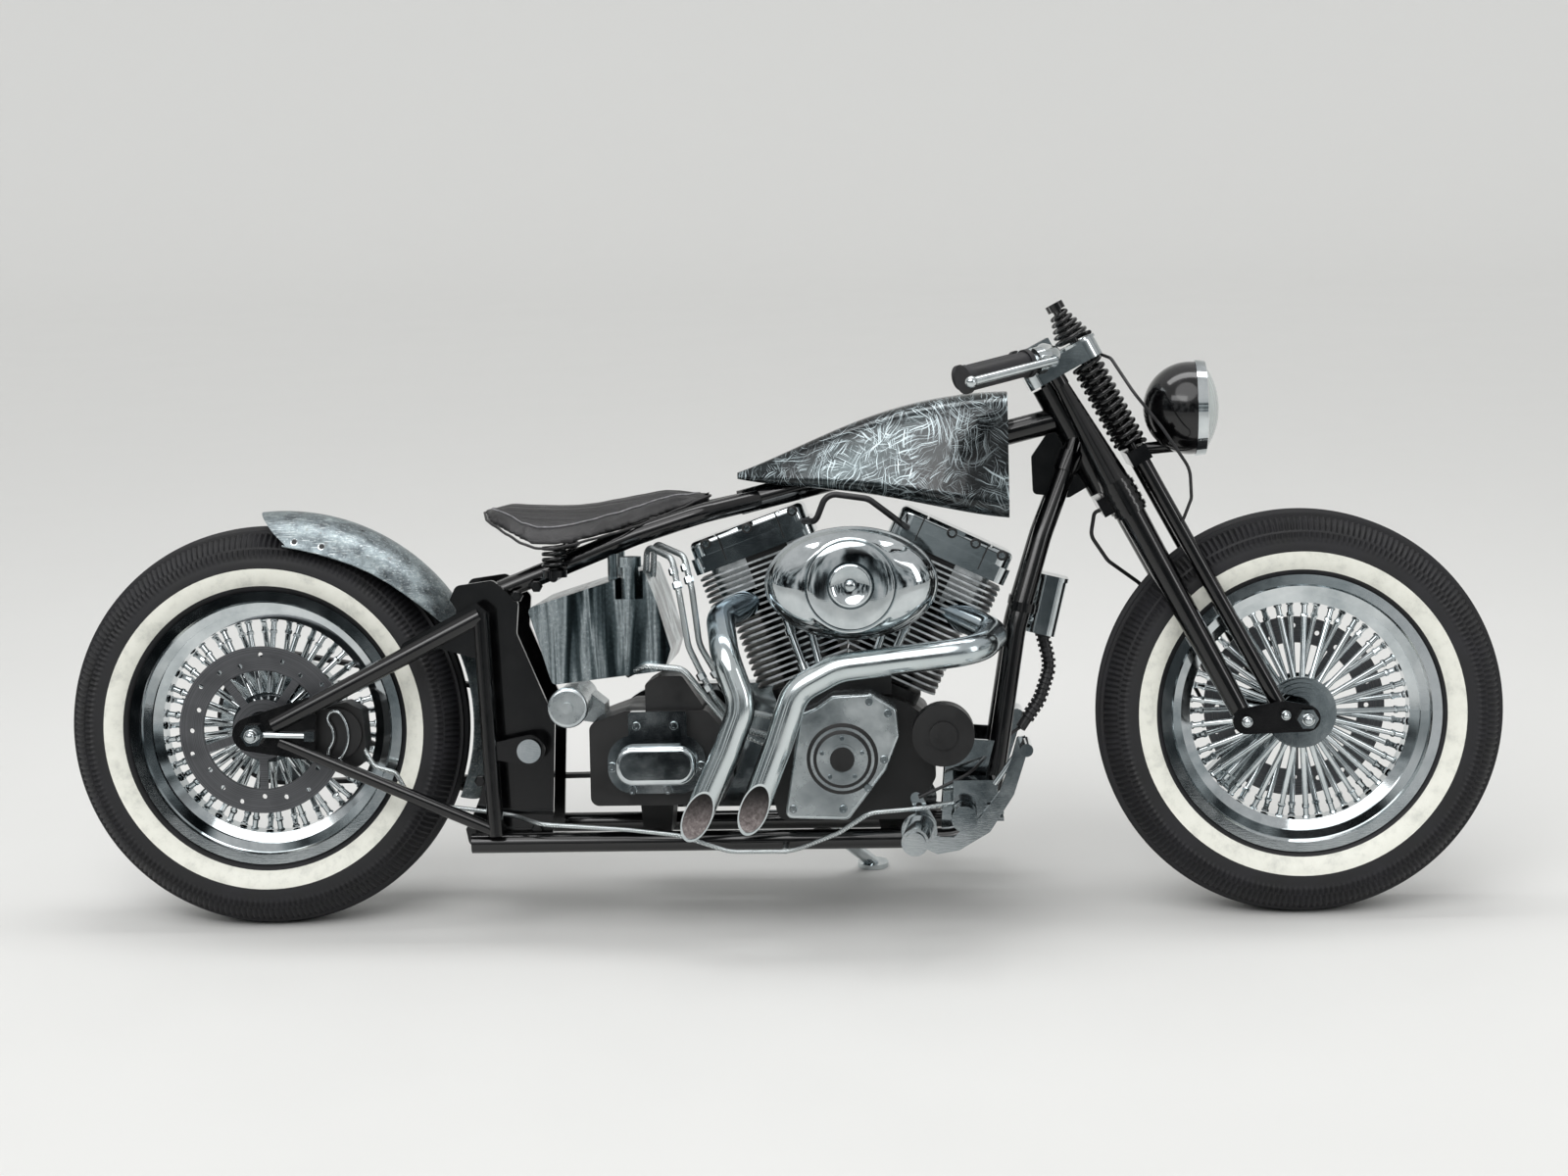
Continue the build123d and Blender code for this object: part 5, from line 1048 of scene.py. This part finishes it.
def on_cylinder(side, along, y, up):
    """Point in millimetres on the front (1) or rear (-1) cylinder, from its own frame."""
    turn = math.radians(VEE_TILT + side * VEE_ANGLE)
    return (
        VEE_FOOT[0] / MM + along * math.cos(turn) + up * math.sin(turn), y,
        VEE_FOOT[1] / MM - along * math.sin(turn) + up * math.cos(turn),
    )


class BIKE_OT_fasteners(bpy.types.Operator):
    """Sets the screws, bolts and seams on covers and plates"""
    bl_idname = "bike.fasteners"
    bl_label = "Set the fasteners"

    def execute(self, context):
        size = context.scene.bike_fasteners.cover_screw / MM
        sockets = [((x, CAM_COVER_Y, z), RIGHT, size) for x, z in CAM_COVER_BOLTS]
        for i in range(5):
            angle = math.radians(72 * i + 18)
            x = POINTS[0] + POINTS_SCREWS_RADIUS * math.cos(angle)
            z = POINTS[1] + POINTS_SCREWS_RADIUS * math.sin(angle)
            sockets.append(((x, POINTS_SCREWS_Y, z), RIGHT, size * 0.55))
        sockets += [((x, GEARBOX_COVER_Y, z), RIGHT, size * 1.15) for x, z in GEARBOX_COVER_BOLTS]
        sockets += [((x, GEARBOX_BLOCK_Y, z), RIGHT, size) for x, z in GEARBOX_BLOCK_BOLTS]
        pockets, seams = [], []
        for side, screws, joins in ROCKER_COVERS:
            for along in screws:
                point = on_cylinder(side, along, ROCKER_COVER_Y, ROCKER_SCREW_HEIGHT)
                # A flat black disc round each screw stands for the painted shade of its pocket
                pockets.append((point, RIGHT, 8.5))
                sockets.append((point, RIGHT, size * 0.8))
            for along in joins:
                seam = [on_cylinder(side, along, ROCKER_COVER_Y + 0.4, up) for up in ROCKER_SEAM_HEIGHTS]
                seams.append(tube([Vector(point) * MM for point in seam], 0.0011, sides=6))
        seated(joined(seams), "rocker_cover_seams", "chassis", "engine_black")
        set_heads("rocker_cover_pockets", "chassis", "disc", pockets, "engine_black")
        set_heads("cover_screws", "chassis", "socket", sockets, "chrome")
        bolts = [((x, PLATE_Y, z), RIGHT, 8.5) for x, z in PLATE_BOLTS]
        set_heads("frame_bolts", "chassis", "hex", bolts, "frame_black")
        return {"FINISHED"}


# Air cleaner from its rim inward: share of the oval, radius of the round middle, how round, and y
CLEANER_CENTRE = (123.0, 550.0)
CLEANER_HALF = (134.5, 88.5)
CLEANER_STEPS = (
    (0.6, 50, 0.0, -198), (1.0, 80, 0.0, -197), (1.0, 80, 0.0, -201), (0.994, 80, 0.0, -204),
    (0.975, 80, 0.0, -206), (0.962, 80, 0.0, -208), (0.945, 80, 0.0, -214), (0.915, 80, 0.0, -221.5),
    (0.875, 80, 0.02, -228), (0.825, 80, 0.08, -234), (0.77, 80, 0.2, -239), (0.7, 80, 0.42, -243),
    (0.66, 77, 0.7, -246), (0.6, 73.5, 1.0, -248), (0.6, 71.5, 1.0, -248.6), (0.6, 70, 1.0, -246.8),
    (0.6, 68.6, 1.0, -249), (0.6, 67.5, 1.0, -251.5), (0.6, 65, 1.0, -252.6), (0.6, 55, 1.0, -254.2),
    (0.6, 45, 1.0, -255.2), (0.6, 37, 1.0, -255.8), (0.6, 35.5, 1.0, -253.4), (0.6, 34, 1.0, -256),
    (0.6, 33, 1.0, -259), (0.6, 30.5, 1.0, -260), (0.6, 29, 1.0, -258.6), (0.6, 22, 1.0, -255),
    (0.6, 12, 1.0, -253.4), (0.6, 9, 1.0, -253.2), (0.6, 8.8, 1.0, -261), (0.6, 7, 1.0, -263.4),
    (0.6, 3, 1.0, -264.6), (0.6, 0.5, 1.0, -264.8),
)


class BIKE_OT_air_cleaner(bpy.types.Operator):
    """Makes the oval air cleaner with its round middle, rings and bolt"""
    bl_idname = "bike.air_cleaner"
    bl_label = "Make the air cleaner"

    def execute(self, context):
        rings = []
        for share, radius, roundness, y in CLEANER_STEPS:
            oval = (1 - roundness) * share
            reach_x, reach_z = (oval * half + roundness * radius for half in CLEANER_HALF)
            rings.append([
                Vector((CLEANER_CENTRE[0] + reach_x * math.cos(a), y, CLEANER_CENTRE[1] + reach_z * math.sin(a))) * MM
                for a in turns(96)
            ])
        cleaner = seated(lofted("air_cleaner", rings), "air_cleaner_dome", "chassis", "chrome", smooth=40)
        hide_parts("air_cleaner")
        return {"FINISHED"}


# Last straight of each drag pipe: a point inside it, the pipe's end and the middle of its mouth.
# The mouth's cut turns from the pipe's way to the right by the slash, in degrees.
MOUTHS = (
    ((-76, -214, 290), (-150, -214, 132), (-123, -214, 190)),
    ((5, -216, 300), (-58, -216, 140), (-34, -216, 200)),
)
MOUTH_SLASH = 64.0
LINING_OUTER, LINING_INNER, LINING_DEPTH = 20.7, 20.2, 95.0


def pipe_lining(before, end, mouth):
    """Thin lining inside a pipe's mouth, cut on the same slant."""
    before, end, mouth = Vector(before), Vector(end), Vector(mouth)
    onward = (end - before).normalized()
    slant = math.radians(MOUTH_SLASH)
    cut = onward * math.cos(slant) + Vector(RIGHT) * math.sin(slant)
    side = Vector(LEFT)
    other = onward.cross(side)
    rings = []
    for radius, deep in ((LINING_OUTER, True), (LINING_OUTER, False), (LINING_INNER, False), (LINING_INNER, True)):
        ring = []
        for a in turns(32):
            point = mouth + (side * math.cos(a) + other * math.sin(a)) * radius
            reach = -LINING_DEPTH if deep else (mouth - point).dot(cut) / onward.dot(cut) - 1.5
            ring.append((point + onward * reach) * MM)
        rings.append(ring)
    return lofted("lining", rings, caps=False, loop=True)


class BIKE_OT_exhaust_linings(bpy.types.Operator):
    """Makes the burnt linings inside the pipes' mouths"""
    bl_idname = "bike.exhaust_linings"
    bl_label = "Line the exhausts"

    def execute(self, context):
        # Linings carry burnt scale and painted shade that darkens them towards their deep ends
        linings = joined([pipe_lining(*mouth) for mouth in MOUTHS])
        seated(linings, "exhaust_linings", "chassis", "soot_and_shade", "engine_black", 60)
        return {"FINISHED"}


# Ends of the axles and of the springer's pins in millimetres, and the radius of the dome nut on each
REAR_AXLE_END_Y, REAR_DOME = 159, 11.0
FRONT_AXLE_END_Y, FRONT_DOME = 138, 10.0
PIN_END_Y, SPRINGER_PINS = 133, ((737.7, 317.2, 8.5), (798.3, 326.7, 7.5))


def both_sides(x, y, z, size):
    """Places of a nut of that size on the right and the left end of a pin."""
    return [((x, -y, z), RIGHT, size), ((x, y, z), LEFT, size)]


class BIKE_OT_cover_nuts(bpy.types.Operator):
    """Sets black discs of painted shade in the points cover's recesses, and the dome nuts of axles and springer"""
    bl_idname = "bike.cover_nuts"
    bl_label = "Set recesses and dome nuts"

    def execute(self, context):
        # Thin black discs in the recesses round the steps: painted shade
        recesses = [((POINTS[0], y, POINTS[1]), RIGHT, (radius, radius, 1.0)) for y, radius in POINTS_STEPS]
        set_heads("points_cover_recesses", "chassis", "recess", recesses, "engine_black")
        axle_z = AXLE_Z / MM
        rear = both_sides(WHEEL_X["rear"] / MM, REAR_AXLE_END_Y, axle_z, REAR_DOME)
        set_heads("rear_axle_domes", "chassis", "acorn", rear, "chrome")
        front = both_sides(WHEEL_X["front"] / MM, FRONT_AXLE_END_Y, axle_z, FRONT_DOME)
        for x, z, size in SPRINGER_PINS:
            front += both_sides(x, PIN_END_Y, z, size)
        set_heads("springer_dome_nuts", "steering", "acorn", front, "chrome")
        return {"FINISHED"}


# Kidney-shaped cover on the rear caliper, in millimetres: middle of its bend, radius to its middle line,
# half width, half sweep in degrees, and y of its outline
KIDNEY_CENTRE, KIDNEY_BEND, KIDNEY_HALF, KIDNEY_SWEEP, KIDNEY_Y = (-742, 314), 44, 12, 38, -114.6


class BIKE_OT_caliper_outline(bpy.types.Operator):
    """Makes the bright outline of the kidney-shaped cover on the rear caliper"""
    bl_idname = "bike.caliper_outline"
    bl_label = "Outline the caliper's cover"

    def execute(self, context):
        points = []
        # Outer edge and upper end, then inner edge and lower end
        for end in (1, -1):
            turn = math.radians(KIDNEY_SWEEP) * end
            for k in range(13):
                angle = turn * (k / 6 - 1)
                radius = KIDNEY_BEND + end * KIDNEY_HALF
                points.append((radius * math.cos(angle), radius * math.sin(angle)))
            for k in range(1, 6):
                u = KIDNEY_BEND + end * KIDNEY_HALF * math.cos(math.pi * k / 6)
                v = end * KIDNEY_HALF * math.sin(math.pi * k / 6)
                points.append((u * math.cos(turn) - v * math.sin(turn), u * math.sin(turn) + v * math.cos(turn)))
        line = [Vector((KIDNEY_CENTRE[0] + x, KIDNEY_Y, KIDNEY_CENTRE[1] + z)) * MM for x, z in points]
        seated(tube(line, 0.0023, closed=True), "caliper_cover_outline", "chassis", "chrome", smooth=60)
        return {"FINISHED"}


# Rear fender in millimetres: centre of its arc, and the radius and half width of its domed skin;
# then the (x, z) of points along its lower edge and of its two drilled holes
FENDER_CENTRE = (-806.0, 328.0)
FENDER_DOME = (250.0, 91.0)
FENDER_EDGE = (
    (-790, 616), (-764, 611), (-735, 604), (-706, 595), (-678, 585),
    (-648, 571), (-618, 553), (-588, 531), (-560, 508), (-540, 490),
)
FENDER_HOLES = ((-771, 622), (-727, 614))


def on_fender(x, z, side):
    """Point in millimetres on the fender's domed skin, and the way out of the skin there."""
    radial = Vector((x - FENDER_CENTRE[0], 0, z - FENDER_CENTRE[1]))
    rise = radial.length - FENDER_DOME[0]
    reach = math.sqrt(FENDER_DOME[1] ** 2 - rise**2)
    out = (radial.normalized() * rise + Vector((0, side * reach, 0))).normalized()
    return Vector((x, side * reach, z)), out


class BIKE_OT_fender_trim(bpy.types.Operator):
    """Makes the fender's rubbed edge line and its two drilled holes, each a black disc of painted shade inside a
    chrome rim
    """
    bl_idname = "bike.fender_trim"
    bl_label = "Trim the fender"

    def execute(self, context):
        edges = []
        for side in (-1, 1):
            skin = [on_fender(x, z, side) for x, z in FENDER_EDGE]
            edges.append(tube([(point + out * 0.3) * MM for point, out in skin], 0.0016))
        seated(joined(edges), "fender_edge_line", "chassis", "raw_steel", smooth=60)
        drilled = [on_fender(x, z, -1) for x, z in FENDER_HOLES]
        rims = [(point, out, 6.2) for point, out in drilled]
        # Holes are flat black discs: painted shade where the fender is drilled through
        holes = [(point + out * 0.3, out, 4.4) for point, out in drilled]
        set_heads("fender_hole_rims", "chassis", "disc", rims, "chrome")
        set_heads("fender_holes", "chassis", "disc", holes, "engine_black")
        return {"FINISHED"}


# Stretches of the oil lines that carry a hexagon fitting near each end, in millimetres
FITTED_STRETCHES = (
    ((-160, -136, 576), (-150, -149, 540)), ((-142, -122, 580), (-133, -132, 548)),
    ((-120, -149, 410), (-104, -146, 378)), ((-100, -132, 412), (-80, -129, 380)),
)


class BIKE_OT_line_fittings(bpy.types.Operator):
    """Sets the hexagon fittings on the oil lines"""
    bl_idname = "bike.line_fittings"
    bl_label = "Fit the oil lines"

    def execute(self, context):
        fittings = []
        for low, high in FITTED_STRETCHES:
            way = Vector(low) - Vector(high)
            fittings += [(Vector(high) + way * share, way, 7.6) for share in (0.2, 0.8)]
        set_heads("oil_line_fittings", "chassis", "band", fittings, "chrome")
        return {"FINISHED"}


# Floor seen from the side: flat from the front, then swept up into the wall behind the bike, in metres
FLOOR_HALF_WIDTH, FLOOR_FRONT, SWEEP_START, SWEEP_RADIUS, WALL_TOP = 30.0, -30.0, 8.0, 5.0, 14.0
# Each softbox: name, place, what it points at, size and power in watts
SOFTBOXES = (
    ("right_softbox", (-1.4, -2.9, 3.0), (0, 0, 0.4), (3.0, 0.9), 28),
    ("front_softbox", (3.4, -2.2, 1.8), (0.4, 0, 0.4), (0.8, 2.0), 18),
    ("top_softbox", (0, 0.4, 3.4), (0, 0, 0.4), (3.2, 0.8), 38),
)
# Camera fitted to the wheels in the photograph: its place, its turns in radians, and its lens in pixels
# of the photograph's width
EYE = (0.24874, -4.8, 1.61394)
YAW, PITCH, ROLL = -0.04912, 0.21935, -0.02717
LENS_PIXELS, PHOTO_WIDTH, SENSOR_WIDTH = 3158.92, 1600, 36.0


def make_floor(scene, colour):
    """Pale painted floor that sweeps up behind the bike."""
    sweep = [(FLOOR_FRONT, 0.0), (0.0, 0.0), (SWEEP_START, 0.0)]
    for degrees in range(6, 91, 6):
        angle = math.radians(degrees)
        sweep.append((SWEEP_START + SWEEP_RADIUS * math.sin(angle), SWEEP_RADIUS - SWEEP_RADIUS * math.cos(angle)))
    sweep.append((SWEEP_START + SWEEP_RADIUS, WALL_TOP))
    made = bmesh.new()
    rows = [[made.verts.new((x, y, z)) for x in (-FLOOR_HALF_WIDTH, 0.0, FLOOR_HALF_WIDTH)] for y, z in sweep]
    for here, there in zip(rows, rows[1:]):
        for j in range(2):
            made.faces.new((here[j], here[j + 1], there[j + 1], there[j]))
    mesh = bpy.data.meshes.new("studio_floor")
    made.to_mesh(mesh)
    made.free()
    mesh.shade_smooth()
    floor = bpy.data.objects.new("studio_floor", mesh)
    scene.collection.objects.link(floor)
    # Matt floor paint, rolled on: plain colour with slightly uneven dullness
    material = bpy.data.materials.new("painted_studio_floor")
    material.use_nodes = True
    tree = material.node_tree
    tree.nodes.clear()
    where = add(tree, "ShaderNodeTexCoord")
    scuff = add(tree, "ShaderNodeTexNoise", {"Vector": where.outputs["Object"], "Scale": 3.0, "Detail": 4.0})
    dullness = add(tree, "ShaderNodeMapRange", {
        "Value": scuff, "From Min": 0.3, "From Max": 0.7, "To Min": 0.55, "To Max": 0.7,
    })
    shader = add(tree, "ShaderNodeBsdfPrincipled", {"Base Color": colour, "Roughness": dullness})
    add(tree, "ShaderNodeOutputMaterial", {"Surface": shader})
    mesh.materials.append(material)


def make_world(scene):
    """White sky over dark and light shapes low round the studio, so that flat chrome shows broken reflections."""
    world = bpy.data.worlds.new("studio")
    scene.world = world
    world.use_nodes = True
    tree = world.node_tree
    tree.nodes.clear()
    way = add(tree, "ShaderNodeTexCoord").outputs["Generated"]
    parts = add(tree, "ShaderNodeSeparateXYZ", {"Vector": way})
    tall = add(tree, "ShaderNodeMapping", {"Vector": way, "Scale": (9.0, 9.0, 4.0)})
    shapes = add(tree, "ShaderNodeTexNoise", {"Vector": tall, "Scale": 1.0, "Detail": 5.0, "Roughness": 0.6})
    low = add(tree, "ShaderNodeValToRGB", {"Fac": shapes}, (
        (0.4, "#15181a"), (0.47, "#565d60"), (0.53, "#c9d1d3"), (0.6, "#ffffff"),
    ))
    height = add(tree, "ShaderNodeMapRange", {"Value": parts.outputs["Z"], "From Min": 0.3, "From Max": 0.52})
    sky = add(tree, "ShaderNodeMix", {"Factor": height, "A": low, "B": linear("#ffffff")}, data_type="RGBA")
    back = add(tree, "ShaderNodeBackground", {"Color": sky.outputs[2], "Strength": 0.66})
    # Past the floor's edge the studio itself is seen as plain pale grey
    plain = add(tree, "ShaderNodeBackground", {"Color": linear("#d2d2d0"), "Strength": 1.0})
    path = add(tree, "ShaderNodeLightPath")
    seen = add(tree, "ShaderNodeMixShader", {0: path.outputs["Is Camera Ray"], 1: back, 2: plain})
    add(tree, "ShaderNodeOutputWorld", {"Surface": seen})


def make_lights(scene, strength):
    """Wide soft sun and three softboxes."""
    sun = bpy.data.lights.new("wide_sun", "SUN")
    sun.energy = strength
    sun.angle = math.radians(50)
    lamp = bpy.data.objects.new("wide_sun", sun)
    lamp.rotation_euler = (math.radians(38), math.radians(-14), 0)
    scene.collection.objects.link(lamp)
    for name, place, aim, size, power in SOFTBOXES:
        light = bpy.data.lights.new(name, "AREA")
        light.shape = "RECTANGLE"
        light.size, light.size_y = size
        light.energy = power
        lamp = bpy.data.objects.new(name, light)
        lamp.location = place
        lamp.rotation_euler = (Vector(aim) - Vector(place)).to_track_quat("-Z", "Y").to_euler()
        scene.collection.objects.link(lamp)


def make_camera(scene):
    """Camera where the bike was seen from, at a standing eye's height and turned a little to the left."""
    forward = Vector((math.sin(YAW) * math.cos(PITCH), math.cos(YAW) * math.cos(PITCH), -math.sin(PITCH)))
    flat_right = Vector((math.cos(YAW), -math.sin(YAW), 0))
    flat_up = flat_right.cross(forward)
    right = flat_right * math.cos(ROLL) + flat_up * math.sin(ROLL)
    up = flat_up * math.cos(ROLL) - flat_right * math.sin(ROLL)
    data = bpy.data.cameras.new("standing_eye")
    data.sensor_width = SENSOR_WIDTH
    data.sensor_fit = "HORIZONTAL"
    data.lens = SENSOR_WIDTH * LENS_PIXELS / PHOTO_WIDTH
    data.clip_end = 200.0
    camera = bpy.data.objects.new("standing_eye", data)
    turned = Matrix((right, up, -forward)).transposed().to_4x4()
    # The eye's place is from the wheels' ground line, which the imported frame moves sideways
    camera.matrix_world = Matrix.Translation(Vector(EYE) + Vector((0, bike_origin.y, 0))) @ turned
    scene.collection.objects.link(camera)
    scene.camera = camera


class BIKE_OT_stage(bpy.types.Operator):
    """Makes the floor, the lights and the camera"""
    bl_idname = "bike.stage"
    bl_label = "Make the stage"

    def execute(self, context):
        scene = context.scene
        scene.view_settings.view_transform = "Standard"
        make_floor(scene, scene.bike_stage.floor)
        make_world(scene)
        make_lights(scene, scene.bike_stage.sun)
        make_camera(scene)
        return {"FINISHED"}


class BIKE_PT_panel(bpy.types.Panel):
    """Lists the operators and the sizes that they use"""
    bl_idname = "BIKE_PT_panel"
    bl_label = "Bobber"
    bl_space_type = "VIEW_3D"
    bl_region_type = "UI"
    bl_category = "Bobber"

    def draw(self, context):
        layout = self.layout
        for operator in OPERATORS:
            layout.operator(operator.bl_idname)
        for name in GROUPS:
            box = layout.box()
            settings = getattr(context.scene, name)
            for item in settings.bl_rna.properties:
                if not item.is_readonly and item.identifier != "name":
                    box.prop(settings, item.identifier)


OPERATORS = (
    BIKE_OT_finishes, BIKE_OT_tyres, BIKE_OT_saddle, BIKE_OT_nipples, BIKE_OT_fasteners, BIKE_OT_air_cleaner,
    BIKE_OT_exhaust_linings, BIKE_OT_cover_nuts, BIKE_OT_caliper_outline, BIKE_OT_fender_trim,
    BIKE_OT_line_fittings, BIKE_OT_stage,
)
GROUPS = {
    "bike_tyres": BikeTyreSizes,
    "bike_saddle": BikeSaddleShape,
    "bike_fasteners": BikeFastenerSizes,
    "bike_stage": BikeStageSettings,
}


def register():
    for one in (*GROUPS.values(), *OPERATORS, BIKE_PT_panel):
        bpy.utils.register_class(one)
    for name, group in GROUPS.items():
        setattr(bpy.types.Scene, name, bpy.props.PointerProperty(type=group))


def unregister():
    for name in GROUPS:
        delattr(bpy.types.Scene, name)
    for one in reversed((*GROUPS.values(), *OPERATORS, BIKE_PT_panel)):
        bpy.utils.unregister_class(one)


def main():
    register()
    for operator in OPERATORS:
        group, name = operator.bl_idname.split(".")
        getattr(getattr(bpy.ops, group), name)()


if __name__ == "__main__":
    main()
